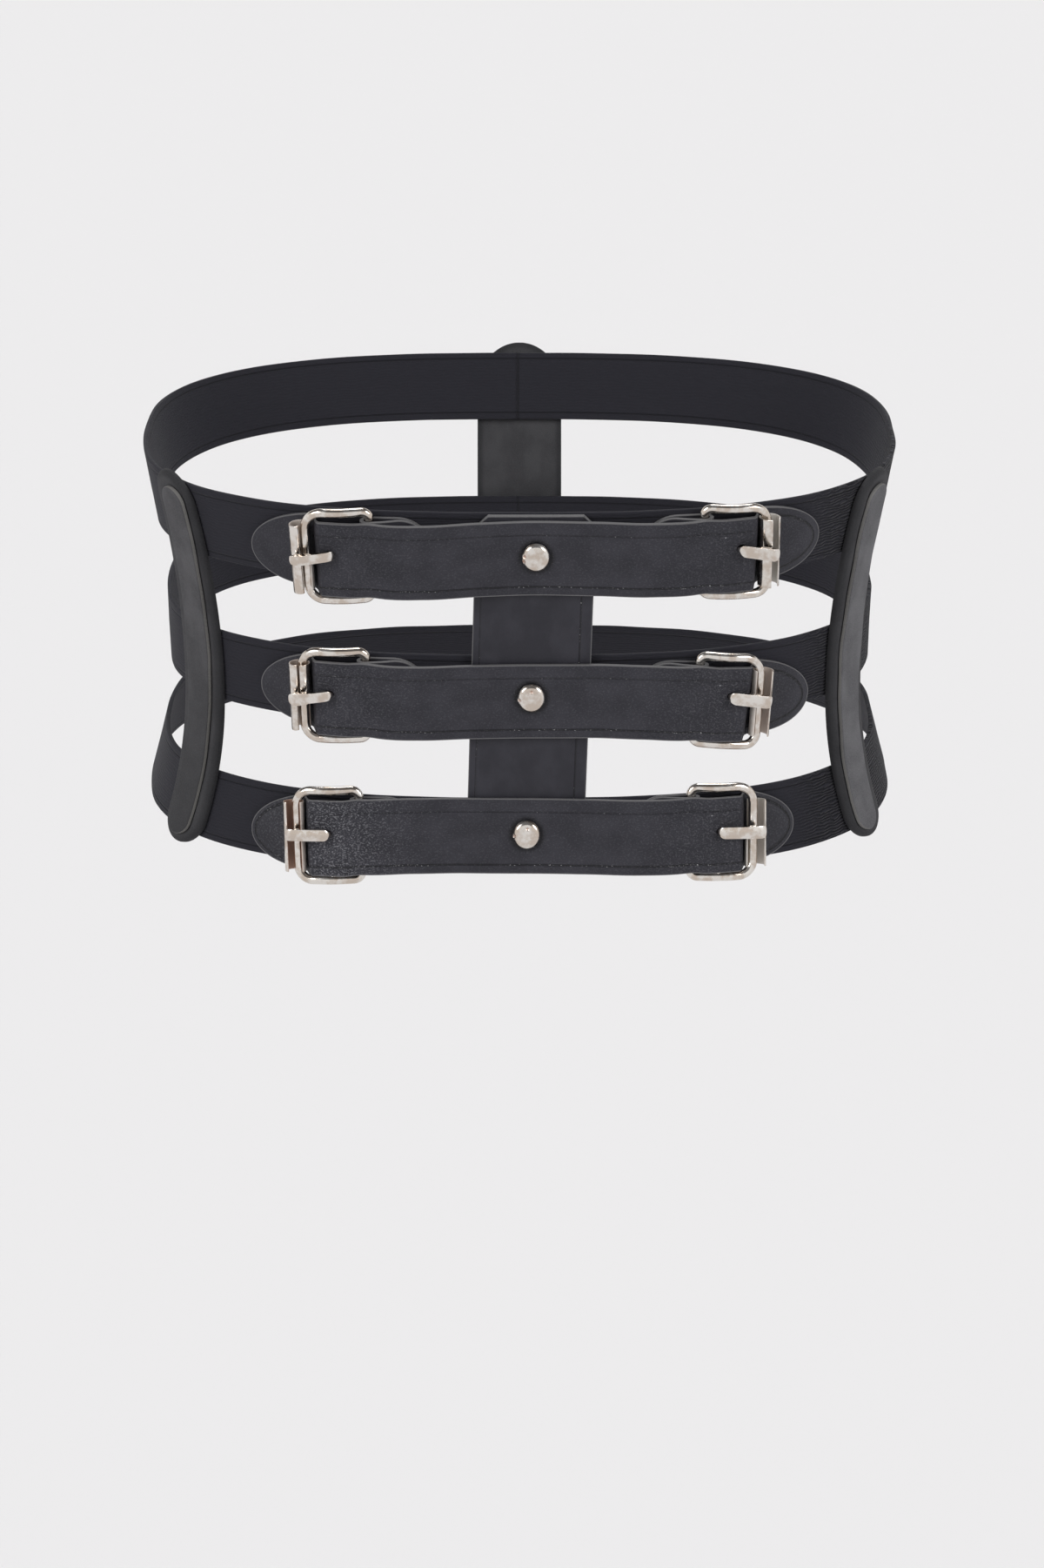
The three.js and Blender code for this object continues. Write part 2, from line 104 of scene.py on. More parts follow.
def formPoint(angle, height):
    grown = ((height - waist["neck"]) / waist["reach"]) ** 2
    above = height > waist["neck"]

    def gained(key):
        return np.where(above, flareAbove[key], flareBelow[key]) * grown

    power = waist["roundness"]
    across = np.abs(np.sin(angle) / (waist["halfWidth"] + gained("width"))) ** power
    deep = np.abs(np.cos(angle) / (waist["halfDepth"] + gained("depth"))) ** power
    radius = (across + deep) ** (-1 / power)
    x = radius * np.sin(angle)
    return asPoints(x, gained("shift") - radius * np.cos(angle), height + 0 * x)


def formPlace(angle, height, up, out):
    small = 1e-3
    along = unit(formPoint(angle + small, height) - formPoint(angle - small, height))
    slope = formPoint(angle, height + small) - formPoint(angle, height - small)
    outward = unit(np.cross(along, slope))
    upward = np.cross(outward, along)
    return formPoint(angle, height) + upward * up[..., None] + outward * out[..., None]


# Girth along each row, measured a few millimetres out, for looking angles up in
girthOut, girthSteps = 4, 2880
for row in rows.values():
    row["angles"] = np.linspace(-math.pi, math.pi, girthSteps + 1)
    level = 0 * row["angles"]
    row["girths"] = runsOf(formPlace(row["angles"], level + row["height"], level, level + girthOut))
    front = row["girths"][girthSteps // 2]
    row["middle"] = front + centreLine["girth"] + centreLine["lean"] * row["height"]


def perSide(along, row, key):
    return np.where(along < 0, row["left"][key], row["right"][key])


def onRow(row, along, up, out):
    drop = perSide(along, row, "drop")
    sunk = row["lift"] - drop * (along / dropReach) ** 2
    slope = -2 * drop * along / dropReach ** 2
    angle = np.interp(row["middle"] + along - slope * up, row["girths"], row["angles"])
    return formPlace(angle, row["height"] + 0 * angle, up + sunk, out)


# How far a front strap hangs below its buckles
def sagAt(row, along):
    sag, reach = row["sag"], np.abs(along)
    half = np.where(along < 0, sag["left"], sag["right"])
    nearRivet = sag["middle"] + (half - sag["middle"]) * smooth(0, sagReach["half"], reach)
    inward = perSide(along, row, "buckle") - reach
    begun = smooth(barSag["outer"], barSag["full"], inward)
    nearBar = barSag["depth"] * begun * (1 - smooth(barSag["kept"], barSag["inner"], inward))
    return nearRivet * (1 - smooth(sagReach["half"], sagReach["none"], reach)) + nearBar


def angleAcross(angle, height, distance):
    small = 1e-2
    span = formPoint(angle + small, height) - formPoint(angle - small, height)
    return distance * 2 * small / np.linalg.norm(span, axis=-1)


def readPoints(piece):
    points = np.empty(len(piece.data.vertices) * 3)
    piece.data.vertices.foreach_get("co", points)
    return points.reshape(-1, 3)


def movePoints(piece, place):
    x, y, z = readPoints(piece).T
    piece.data.vertices.foreach_set("co", np.ascontiguousarray(place(x, y, z), dtype=float).ravel())
    piece.data.update()


def layOn(piece, place):
    movePoints(piece, lambda x, y, z: place(x, y, z) * toMetres)


def deselect():
    bpy.ops.object.select_all(action="DESELECT")


def onlyThis(piece):
    deselect()
    piece.select_set(True)
    bpy.context.view_layer.objects.active = piece


def named(name):
    bpy.context.object.name = name
    return bpy.context.object


def finishWith(piece, kind, **settings):
    modifier = piece.modifiers.new(kind.lower(), kind)
    for key, value in settings.items():
        setattr(modifier, key, value)
    onlyThis(piece)
    bpy.ops.object.modifier_apply(modifier=modifier.name)


def thicken(piece, thick, offset=1):
    finishWith(piece, "SOLIDIFY", thickness=thick, offset=offset)


def roundEdges(piece, width, segments=3, degrees=50):
    sharp = {"limit_method": "ANGLE", "angle_limit": math.radians(degrees)}
    finishWith(piece, "BEVEL", width=width, segments=segments, **sharp)


def flatGrid(name, alongSteps, acrossSteps):
    deselect()
    bpy.ops.mesh.primitive_grid_add(x_subdivisions=alongSteps, y_subdivisions=acrossSteps, size=2)
    return named(name)


# A sheet's ends start at this turn, in degrees, and its rows crowd toward the long edges
sheetFlow = {"firstTurn": 4, "crowding": 0.55, "longWave": 7.3, "shortWave": 3.1}


# Cuts a sheet from low to high along x. Its ends are elliptical, or their corners are rounded
# or clipped.
def cutSheet(name, cut):
    sheet = flatGrid(name, cut["alongSteps"], cut["acrossSteps"])
    endShare, endLength, ends = cut["endShare"], cut["endLength"], cut.get("ends")
    firstTurn = math.radians(sheetFlow["firstTurn"])

    def outline(x, y, z):
        share = (x + 1) / 2
        fromEnd = np.minimum(share, 1 - share)
        endPart = np.clip(fromEnd / endShare, 0, 1)
        turn = firstTurn + (math.pi / 2 - firstTurn) * endPart
        inward = endLength * (endPart if ends == "clipped" else 1 - np.cos(turn))
        low, high = cut["low"] + endLength, cut["high"] - endLength
        straight = low + (high - low) * (share - endShare) / (1 - 2 * endShare)
        end = np.where(share < 0.5, cut["low"] + inward, cut["high"] - inward)
        flatX = np.where(fromEnd < endShare, end, straight)
        width = cut["half"] * np.sin(turn)
        if ends == "clipped":
            width = cut["half"] - endLength + inward
        elif ends == "rounded":
            width = cut["half"] - endLength * (1 - np.sin(turn))
        crowding = sheetFlow["crowding"]
        eased = (1 - crowding) * y + crowding * np.sin(math.pi / 2 * y)
        longWave = np.sin(flatX / sheetFlow["longWave"] + 1)
        waves = longWave + np.sin(flatX / sheetFlow["shortWave"]) * 0.5
        return asPoints(flatX, eased * (width + cut.get("wave", 0) * waves), 0 * flatX)

    movePoints(sheet, outline)
    return sheet


def rimOf(sheet):
    counts = {}
    for face in sheet.data.polygons:
        for key in face.edge_keys:
            counts[key] = counts.get(key, 0) + 1
    points = readPoints(sheet)[:, :2]
    return [(points[a], points[b]) for (a, b), count in counts.items() if count == 1]


def distanceTo(x, y, segments):
    nearest = np.full(np.shape(x), 1e9)
    for (startX, startY), (endX, endY) in segments:
        stepX, stepY = endX - startX, endY - startY
        size = max(stepX * stepX + stepY * stepY, 1e-9)
        part = np.clip(((x - startX) * stepX + (y - startY) * stepY) / size, 0, 1)
        away = np.hypot(x - startX - part * stepX, y - startY - part * stepY)
        nearest = np.minimum(nearest, away)
    return nearest


# Rolls the outer face down to the wall's thickness along the rim
def rollEdges(piece, rim, shape):
    def rolled(x, y, z):
        part = np.clip(distanceTo(x, y, rim) / shape["roll"], 0, 1)
        top = shape["wall"] + (shape["thick"] - shape["wall"]) * np.sqrt(1 - (1 - part) ** 2)
        return asPoints(x, y, np.where(z > shape["thick"] / 2, top, z))

    movePoints(piece, rolled)


# A layer of leather or metal and its rim, cut flat, with rounded or rolled edges
def cutLayer(name, cut, shape, offset=1):
    piece = cutSheet(name, cut)
    rim = rimOf(piece)
    thicken(piece, shape["thick"], offset)
    if "edgeRound" in shape:
        roundEdges(piece, shape["edgeRound"], shape.get("roundSteps", 3))
    if "roll" in shape:
        rollEdges(piece, rim, shape)
    return piece, rim


# Keeps where each point was in the flat piece: along, across and its distance from the cut edge
def keepFlat(piece, along, across, edge):
    flat = piece.data.attributes.new("flat", "FLOAT_VECTOR", "POINT")
    flat.data.foreach_set("vector", asPoints(along, across, edge).ravel())


def keepValues(piece, name, values):
    piece.data.attributes.new(name, "FLOAT", "POINT").data.foreach_set("value", values)


# Only the outer face shows its seam
def keepSeam(piece, z, distance):
    keepValues(piece, "seam", distance + 3 * (z < 0.3))


def smoothShade(piece, degrees=35):
    onlyThis(piece)
    bpy.ops.object.shade_smooth_by_angle(angle=math.radians(degrees))


def settle(piece, material, slotName, *nodes):
    piece.data.materials.clear()
    piece.data.materials.append(material)
    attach(piece, "root")
    if nodes:
        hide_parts(*nodes)


def mirrorFlat(piece):
    onlyThis(piece)
    bpy.ops.object.mode_set(mode="EDIT")
    bpy.ops.mesh.select_all(action="SELECT")
    bpy.ops.transform.resize(value=(-1, 1, 1), center_override=(0, 0, 0))
    bpy.ops.mesh.flip_normals()
    bpy.ops.object.mode_set(mode="OBJECT")


# Lays a buckle piece, made with x outward from the outer bar, on its row
def layOnBuckle(piece, row, side):
    if side == "left":
        mirrorFlat(piece)
    bar = signs[side] * row[side]["buckle"]
    layOn(piece, lambda x, y, z: onRow(row, bar + x, y, z))


# A side view as straight runs with rounded corners: points of (x, out), with a radius each
def roundedPath(corners, radii, steps):
    path = [np.array(corners[0], float)]
    for i in range(1, len(corners) - 1):
        corner = np.array(corners[i], float)
        before = np.array(corners[i - 1], float) - corner
        after = np.array(corners[i + 1], float) - corner
        reach = min(radii[i], np.linalg.norm(before) * 0.49, np.linalg.norm(after) * 0.49)
        start = corner + unit(before) * reach
        end = corner + unit(after) * reach
        for part in np.linspace(0, 1, steps):
            path.append((1 - part) ** 2 * start + 2 * part * (1 - part) * corner + part ** 2 * end)
    path.append(np.array(corners[-1], float))
    return np.array(path)


def arcPath(centre, radius, fromDegrees, toDegrees, steps=24):
    turns = np.radians(np.linspace(fromDegrees, toDegrees, steps))
    return asPoints(centre[0] + radius * np.cos(turns), centre[1] + radius * np.sin(turns))


def pointsAt(path, runs, spots):
    return asPoints(np.interp(spots, runs, path[:, 0]), np.interp(spots, runs, path[:, 1]))


# Folds a flat piece along a side view: x runs along the path and z stands off it
def foldAlong(piece, path):
    runs = runsOf(path)

    def place(x, y, z):
        small = 0.15
        ahead, behind = np.minimum(x + small, runs[-1]), np.maximum(x - small, 0)
        heading = unit(pointsAt(path, runs, ahead) - pointsAt(path, runs, behind))
        spot = pointsAt(path, runs, x)
        return asPoints(spot[:, 0] - heading[:, 1] * z, y, spot[:, 1] + heading[:, 0] * z)

    movePoints(piece, place)


print("flat tools ready")


def addNode(tree, kind, inputs=None, **settings):
    node = tree.nodes.new(kind)
    for key, value in settings.items():
        setattr(node, key, value)
    for key, value in (inputs or {}).items():
        if isinstance(value, bpy.types.NodeSocket):
            tree.links.new(value, node.inputs[key])
        else:
            node.inputs[key].default_value = value
    return node


def calculate(tree, operation, *values):
    return addNode(tree, "ShaderNodeMath", dict(enumerate(values)), operation=operation).outputs[0]


def times(tree, first, second):
    return calculate(tree, "MULTIPLY", first, second)


def ramp(tree, value, low, high, fromValue=0.0, toValue=1.0):
    node = addNode(
        tree, "ShaderNodeMapRange",
        {"Value": value, "From Min": low, "From Max": high, "To Min": fromValue, "To Max": toValue},
        interpolation_type="SMOOTHSTEP",
    )
    return node.outputs["Result"]


def fallOff(tree, value, low, high):
    return ramp(tree, value, low, high, 1.0, 0.0)


def noise(tree, vector, scale, detail, roughness=0.5):
    inputs = {"Vector": vector, "Scale": scale, "Detail": detail, "Roughness": roughness}
    return addNode(tree, "ShaderNodeTexNoise", inputs).outputs["Fac"]


def cells(tree, vector, scale):
    inputs = {"Vector": vector, "Scale": scale}
    return addNode(tree, "ShaderNodeTexVoronoi", inputs, feature="F1").outputs


def blendColours(tree, factor, first, second):
    node = addNode(tree, "ShaderNodeMix", {0: factor, 6: first, 7: second}, data_type="RGBA")
    return node.outputs[2]


# Paints over a colour in turn: each layer is a mask, its share and the paint
def paintOver(tree, colour, *layers):
    for mask, share, paint in layers:
        colour = blendColours(tree, times(tree, mask, share), colour, paint)
    return colour


# Inputs without a value are vectors, and all others and the outputs are plain values
def newGroup(name, inputs, *outputs):
    tree = bpy.data.node_groups.new(name, "ShaderNodeTree")
    for label, value in inputs.items():
        kind = "NodeSocketVector" if value is None else "NodeSocketFloat"
        socket = tree.interface.new_socket(label, in_out="INPUT", socket_type=kind)
        if value is not None:
            socket.default_value = value
    for label in outputs:
        tree.interface.new_socket(label, in_out="OUTPUT", socket_type="NodeSocketFloat")
    return tree, tree.nodes.new("NodeGroupInput").outputs, tree.nodes.new("NodeGroupOutput").inputs


def useGroup(tree, group, inputs):
    return addNode(tree, "ShaderNodeGroup", inputs, node_tree=group).outputs


# Pebbled skin, with long folds where creases are wanted, and a broad mottle
def leatherGrainGroup():
    tree, given, result = newGroup(
        "leatherGrain", {"Vector": None, "Scale": 1.0, "Creases": 0.0}, "Height", "Mottle"
    )
    vector, scale = given["Vector"], given["Scale"]
    pebble = times(tree, ramp(tree, cells(tree, vector, scale)["Distance"], 0.1, 0.7), 0.55)
    fine = noise(tree, vector, scale, 6.0, 0.65)
    skin = calculate(tree, "MULTIPLY_ADD", fine, 0.6, pebble)
    stretched = addNode(tree, "ShaderNodeMapping", {"Vector": vector, "Scale": (0.75, 0.16, 0.4)})
    folds = noise(tree, stretched.outputs[0], 1.6, 5.0, 0.6)
    fromLine = calculate(tree, "ABSOLUTE", calculate(tree, "SUBTRACT", folds, 0.5))
    foldLines = ramp(tree, fromLine, 0.0, 0.035)
    height = calculate(tree, "MULTIPLY_ADD", foldLines, given["Creases"], skin)
    tree.links.new(height, result["Height"])
    tree.links.new(ramp(tree, noise(tree, vector, 0.09, 3.0), 0.35, 0.68), result["Mottle"])
    return tree


# Specks of lint, each in a cell of its own, in some of the cells
def dustGroup():
    settings = {"Vector": None, "Spacing": 4.0, "Size": 0.1}
    tree, given, result = newGroup("dustSpecks", settings, "Mask")
    cell = cells(tree, given["Vector"], calculate(tree, "DIVIDE", 1.0, given["Spacing"]))
    chance = addNode(tree, "ShaderNodeSeparateColor", {"Color": cell["Color"]}).outputs
    kept = calculate(tree, "GREATER_THAN", chance[0], 0.62)
    size = times(tree, given["Size"], chance[1])
    edge = calculate(tree, "DIVIDE", times(tree, cell["Distance"], given["Spacing"]), size)
    tree.links.new(times(tree, fallOff(tree, edge, 0.6, 1.0), kept), result["Mask"])
    return tree


# A soft line mask along a seam, used to paint shade into the groove
def grooveGroup():
    tree, given, result = newGroup("seamGroove", {"Distance": 0.0, "Width": 0.4}, "Mask")
    away = calculate(tree, "DIVIDE", calculate(tree, "ABSOLUTE", given["Distance"]), given["Width"])
    tree.links.new(fallOff(tree, away, 0.15, 1.0), result["Mask"])
    return tree


# Painted highlights: pale glints here and there along a line of stitching
def stitchGlintGroup():
    tree, given, result = newGroup("stitchGlints", {"Vector": None, "Distance": 0.0}, "Mask")
    nearHole = ramp(tree, noise(tree, given["Vector"], 1.35, 2.0), 0.62, 0.7)
    nearLine = fallOff(tree, given["Distance"], 0.12, 0.4)
    shown = ramp(tree, noise(tree, given["Vector"], 0.055, 1.0), 0.42, 0.6)
    tree.links.new(times(tree, times(tree, nearHole, nearLine), shown), result["Mask"])
    return tree


# Painted highlights: fine sparkle where the leather's grain catches the light, wherever its
# strength is above nothing
def grainHighlightGroup():
    tree, given, result = newGroup("grainSparkleHighlights", {"Vector": None, "Strength": 0.0}, "Mask")
    grit = ramp(tree, noise(tree, given["Vector"], 1.5, 3.0, 0.75), 0.52, 0.62)
    tree.links.new(times(tree, grit, given["Strength"]), result["Mask"])
    return tree


leatherGrain = leatherGrainGroup()
stitchGlints = stitchGlintGroup()
grainSparkleHighlights = grainHighlightGroup()
dustSpecks = dustGroup()
seamGroove = grooveGroup()


def newMaterial(name, **sockets):
    material = bpy.data.materials.new(name)
    material.use_nodes = True
    tree = material.node_tree
    shader = tree.nodes["Principled BSDF"]
    for key, value in sockets.items():
        shader.inputs[key.replace("_", " ")].default_value = value
    return material, tree, shader


def readFlat(tree):
    vector = addNode(tree, "ShaderNodeAttribute", attribute_name="flat").outputs["Vector"]
    return vector, addNode(tree, "ShaderNodeSeparateXYZ", {0: vector}).outputs


def readValue(tree, name):
    return addNode(tree, "ShaderNodeAttribute", attribute_name=name).outputs["Fac"]


def findGrain(tree, vector, look, creases):
    inputs = {"Vector": vector, "Scale": look["grain"], "Creases": creases}
    return useGroup(tree, leatherGrain, inputs)


def findDust(tree, vector, look):
    inputs = {"Vector": vector, "Spacing": look["dustSpacing"], "Size": look["dustSize"]}
    return useGroup(tree, dustSpecks, inputs)["Mask"]


def findGroove(tree, distance, width):
    return useGroup(tree, seamGroove, {"Distance": distance, "Width": width})["Mask"]


def putOn(tree, shader, colour, roughness, height, strength=1.0, distance=toMetres):
    tree.links.new(colour, shader.inputs["Base Color"])
    tree.links.new(roughness, shader.inputs["Roughness"])
    bumps = {"Height": height, "Strength": strength, "Distance": distance}
    bump = addNode(tree, "ShaderNodeBump", bumps)
    tree.links.new(bump.outputs["Normal"], shader.inputs["Normal"])


# Smooth black strap leather with a sewn margin, creases by the buckles and a paler cut edge. Its
# colour also carries painted shade in the seam grooves, a painted shadow round the rivet, and
# painted highlights along the stitching and in the grain.
def strapLeatherMaterial(look):
    material, tree, shader = newMaterial("strapLeather", Specular_IOR_Level=look["specular"])
    vector, (along, _, edge) = readFlat(tree)
    reach = calculate(tree, "ABSOLUTE", along)
    bent = times(tree, ramp(tree, reach, *look["bendFrom"]), fallOff(tree, reach, *look["bendTo"]))
    grain = findGrain(tree, vector, look, times(tree, bent, look["creases"]))
    seam = readValue(tree, "seam")
    # painted shade in the seam grooves
    groove = findGroove(tree, seam, look["groove"])
    # painted highlights: glints along the stitching
    glint = useGroup(tree, stitchGlints, {"Vector": vector, "Distance": seam})["Mask"]
    sparkleLightStrength = readValue(tree, "sparkleLight")
    sparkleHighlight = useGroup(tree, grainSparkleHighlights, {"Vector": vector, "Strength": sparkleLightStrength})["Mask"]
    cut = fallOff(tree, edge, *look["cutWidth"])
    colour = paintOver(
        tree, blendColours(tree, grain["Mottle"], look["dark"], look["light"]),
        (groove, look["grooveShadeShare"], look["grooveShadePaint"]),
        (cut, look["cutShare"], look["cutPaint"]),
        (findDust(tree, vector, look), look["dustShare"], look["dustPaint"]),
        # painted shadow round the rivet and painted shade in the tip creases
        (readValue(tree, "paintedShade"), look["paintedShadeShare"], look["grooveShadePaint"]),
        (glint, 1.0, look["glintPaint"]),
        (sparkleHighlight, 1.0, look["sparkleHighlightPaint"]),
    )
    rough = ramp(tree, grain["Height"], 0.2, 1.2, *look["rough"])
    rough = calculate(tree, "MULTIPLY_ADD", cut, look["cutRough"], rough)
    height = times(tree, grain["Height"], look["grainHeight"])
    height = calculate(tree, "SUBTRACT", height, times(tree, groove, look["grooveDepth"]))
    putOn(tree, shader, colour, rough, height)
    return material


# Grained matt leather of the upright tabs. Near the rolled edges the colour is darkened, as ink on
# the edges and painted shade together.
def tabLeatherMaterial(name, look):
    material, tree, shader = newMaterial(name, Specular_IOR_Level=look["specular"])
    vector, (along, _, edge) = readFlat(tree)
    grain = findGrain(tree, vector, look, look["creases"])
    speckle = ramp(tree, noise(tree, vector, *look["speckle"]), 0.45, 0.75)
    colour = paintOver(
        tree, blendColours(tree, grain["Mottle"], look["dark"], look["light"]),
        (speckle, look["speckShare"], look["speckPaint"]),
        (fallOff(tree, along, *look["fades"]), look["fadeShare"], look["fadePaint"]),
        # painted shade, together with ink, darkens the leather near the rolled edges
        (fallOff(tree, edge, 0.8, look["inkAndShadeWidth"]), look["inkAndShadeShare"], look["inkAndShadePaint"]),
        (fallOff(tree, edge, 0.12, look["cutWidth"]), look["cutShare"], look["cutPaint"]),
    )
    rough = ramp(tree, grain["Height"], 0.2, 1.2, *look["rough"])
    putOn(tree, shader, colour, rough, times(tree, grain["Height"], look["grainHeight"]))
    return material


# Black elastic: fine ribs along the band that waver, a selvage line and a soft matt face. The rib
# furrows and the selvage groove are painted darker as shade.
def elasticMaterial(look):
    material, tree, shader = newMaterial(
        "elasticWebbing", Specular_IOR_Level=look["specular"], Sheen_Weight=look["sheen"],
        Sheen_Roughness=look["sheenRough"],
    )
    vector, (along, across, edge) = readFlat(tree)
    waves = noise(tree, vector, *look["waves"])
    shifted = calculate(tree, "MULTIPLY_ADD", waves, look["waver"], across)
    ribs = calculate(tree, "SINE", times(tree, shifted, 2 * math.pi / look["ribPitch"]))
    loops = calculate(tree, "SINE", times(tree, along, 2 * math.pi / look["loopPitch"]))
    pulled = times(tree, ramp(tree, along, *look["pulled"]), fallOff(tree, along, *look["rests"]))
    ribDepth = calculate(tree, "MULTIPLY_ADD", pulled, look["ribPulled"], look["ribDepth"])
    picks = times(tree, times(tree, loops, ribs), look["loopDepth"])
    fuzz = noise(tree, vector, *look["fuzz"])
    fromSelvage = calculate(tree, "SUBTRACT", edge, look["selvage"])
    selvage = findGroove(tree, fromSelvage, look["selvageWide"])
    furrowShade = calculate(tree, "MULTIPLY_ADD", pulled, look["furrowShadePulled"], look["furrowShadeShare"])
    colour = paintOver(
        tree, blendColours(tree, ramp(tree, fuzz, 0.3, 0.75), look["dark"], look["light"]),
        # painted shade in the rib furrows and the selvage groove
        (ramp(tree, ribs, 0.0, -0.9), furrowShade, look["grooveShadePaint"]),
        (selvage, look["selvageShadeShare"], look["grooveShadePaint"]),
        (findDust(tree, vector, look), look["dustShare"], look["dustPaint"]),
    )
    height = calculate(tree, "MULTIPLY_ADD", ribs, ribDepth, picks)
    height = calculate(tree, "MULTIPLY_ADD", fuzz, look["fuzzHeight"], height)
    height = calculate(tree, "SUBTRACT", height, times(tree, selvage, look["selvageDepth"]))
    putOn(tree, shader, colour, ramp(tree, fuzz, 0.2, 0.8, *look["rough"]), height)
    return material


# Polished nickel plate with faint wear, on the pieces' own place in the belt. Inside the rollers
# the plate gives way to a dull or brown face.
def nickelMaterial(look):
    material, tree, shader = newMaterial("polishedNickel", Metallic=1.0)
    place = addNode(tree, "ShaderNodeTexCoord").outputs["Object"]
    worn = noise(tree, place, *look["worn"])
    ripples = noise(tree, place, *look["ripples"])
    scratches = noise(tree, place, *look["scratches"])
    inside = readValue(tree, "inside")
    plate = blendColours(tree, ramp(tree, worn, 0.4, 0.6), look["warm"], look["cool"])
    bare = blendColours(tree, readValue(tree, "brown"), look["dull"], look["bare"])
    metallic = calculate(tree, "SUBTRACT", 1.0, times(tree, inside, look["insideMatt"]))
    tree.links.new(metallic, shader.inputs["Metallic"])
    rough = ramp(tree, worn, 0.3, 0.75, *look["rough"])
    rough = calculate(tree, "MULTIPLY_ADD", inside, look["insideRough"], rough)
    scratched = times(tree, scratches, look["scratchDepth"])
    height = calculate(tree, "MULTIPLY_ADD", ripples, look["rippleDepth"], scratched)
    putOn(tree, shader, blendColours(tree, inside, plate, bare), rough, height)
    return material


# Waxed black thread
def threadMaterial(look):
    material, tree, shader = newMaterial("waxedThread", Specular_IOR_Level=0.5)
    place = addNode(tree, "ShaderNodeTexCoord").outputs["Object"]
    strands = {"Vector": place, "Scale": 900.0, "Distortion": 2.0}
    twist = addNode(tree, "ShaderNodeTexWave", strands, bands_direction="DIAGONAL").outputs["Fac"]
    colour = blendColours(tree, twist, look["dark"], look["light"])
    rough = ramp(tree, twist, 0.0, 1.0, *look["rough"])
    putOn(tree, shader, colour, rough, twist, look["twistStrength"], look["twistDepth"])
    return material


strapLook = {
    "dark": (0.0208, 0.0203, 0.0262, 1), "light": (0.0285, 0.0278, 0.0352, 1),
    "specular": 0.22, "rough": (0.42, 0.56), "cutRough": 0.15,
    "grain": 2.6, "grainHeight": 0.05,
    "creases": 0.9, "bendFrom": (38.0, 52.0), "bendTo": (70.0, 84.0),
    "groove": 0.5, "grooveDepth": 0.3, "grooveShadeShare": 0.7, "paintedShadeShare": 0.75,
    "grooveShadePaint": (0.006, 0.006, 0.007, 1),
    "cutPaint": (0.155, 0.152, 0.155, 1), "cutShare": 0.75, "cutWidth": (0.1, 0.42),
    "dustSpacing": 7.0, "dustSize": 0.32, "dustShare": 0.8, "dustPaint": (0.4, 0.4, 0.42, 1),
    "glintPaint": (0.42, 0.42, 0.43, 1), "sparkleHighlightPaint": (0.16, 0.16, 0.175, 1),
}
tabLook = {
    "dark": (0.034, 0.0335, 0.0365, 1), "light": (0.048, 0.0475, 0.051, 1),
    "speckle": (3.2, 4.0, 0.75), "speckShare": 0.6, "speckPaint": (0.075, 0.075, 0.079, 1),
    "fades": (-50.0, 50.0), "fadeShare": 0.2, "fadePaint": (0.02, 0.02, 0.022, 1),
    "specular": 0.2, "rough": (0.6, 0.78), "grain": 2.2, "grainHeight": 0.09, "creases": 0.15,
    "inkAndShadePaint": (0.014, 0.014, 0.016, 1), "inkAndShadeShare": 0.6, "inkAndShadeWidth": 2.8,
    "cutPaint": (0.12, 0.12, 0.12, 1), "cutShare": 0.0, "cutWidth": 0.3,
}
facingLook = dict(
    tabLook, dark=(0.048, 0.047, 0.051, 1), light=(0.072, 0.071, 0.076, 1),
    speckPaint=(0.13, 0.13, 0.135, 1), fadeShare=0.75, fadePaint=(0.026, 0.026, 0.028, 1),
    creases=0.1, inkAndShadeShare=0.0, cutPaint=(0.17, 0.165, 0.155, 1), cutShare=0.6, cutWidth=0.2,
)
palerFacingLook = dict(
    facingLook, dark=(0.074, 0.073, 0.079, 1), light=(0.104, 0.103, 0.11, 1),
    speckPaint=(0.19, 0.19, 0.197, 1), fadeShare=0.0,
)
elasticLook = {
    "dark": (0.0162, 0.0160, 0.0208, 1), "light": (0.0272, 0.0266, 0.0340, 1),
    "specular": 0.12, "sheen": 0.06, "sheenRough": 0.45, "rough": (0.7, 0.9),
    "ribPitch": 1.05, "ribDepth": 0.035, "furrowShadeShare": 0.08, "waves": (0.22, 2.0), "waver": 2.2,
    "ribPulled": 0.24, "furrowShadePulled": 0.8, "pulled": (88.0, 112.0), "rests": (150.0, 215.0),
    "loopPitch": 0.7, "loopDepth": 0.02, "fuzz": (4.5, 5.0, 0.7), "fuzzHeight": 0.08,
    "selvage": 2.3, "selvageWide": 0.4, "selvageDepth": 0.25, "selvageShadeShare": 0.6,
    "grooveShadePaint": (0.006, 0.006, 0.008, 1),
    "dustSpacing": 9.0, "dustSize": 0.28, "dustShare": 0.7, "dustPaint": (0.3, 0.3, 0.32, 1),
}
nickelLook = {
    "warm": (0.56, 0.485, 0.42, 1), "cool": (0.725, 0.69, 0.65, 1),
    "dull": (0.60, 0.57, 0.53, 1), "bare": (0.38, 0.24, 0.185, 1),
    "rough": (0.12, 0.24), "insideRough": 0.3, "insideMatt": 0.85, "worn": (260.0, 6.0, 0.6),
    "ripples": (90.0, 2.0), "rippleDepth": 0.07, "scratches": (1400.0, 3.0), "scratchDepth": 0.005,
}
threadLook = {
    "dark": (0.010, 0.010, 0.012, 1), "light": (0.024, 0.024, 0.027, 1), "rough": (0.45, 0.6),
    "twistStrength": 0.6, "twistDepth": 0.00005,
}

strapLeather = strapLeatherMaterial(strapLook)
tabLeather = tabLeatherMaterial("tabLeather", tabLook)
facingLeather = {
    "left": tabLeatherMaterial("facingLeatherLeft", facingLook),
    "right": tabLeatherMaterial("facingLeatherRight", palerFacingLook),
}
elasticWebbing = elasticMaterial(elasticLook)
polishedNickel = nickelMaterial(nickelLook)
waxedThread = threadMaterial(threadLook)
print("materials made")

band = {
    "height": 24.4, "thick": 1.5, "segments": 420, "cuts": 13, "edgeRound": 0.5, "core": 100.0,
    "slack": 0.01, "slackWaves": 23,
}


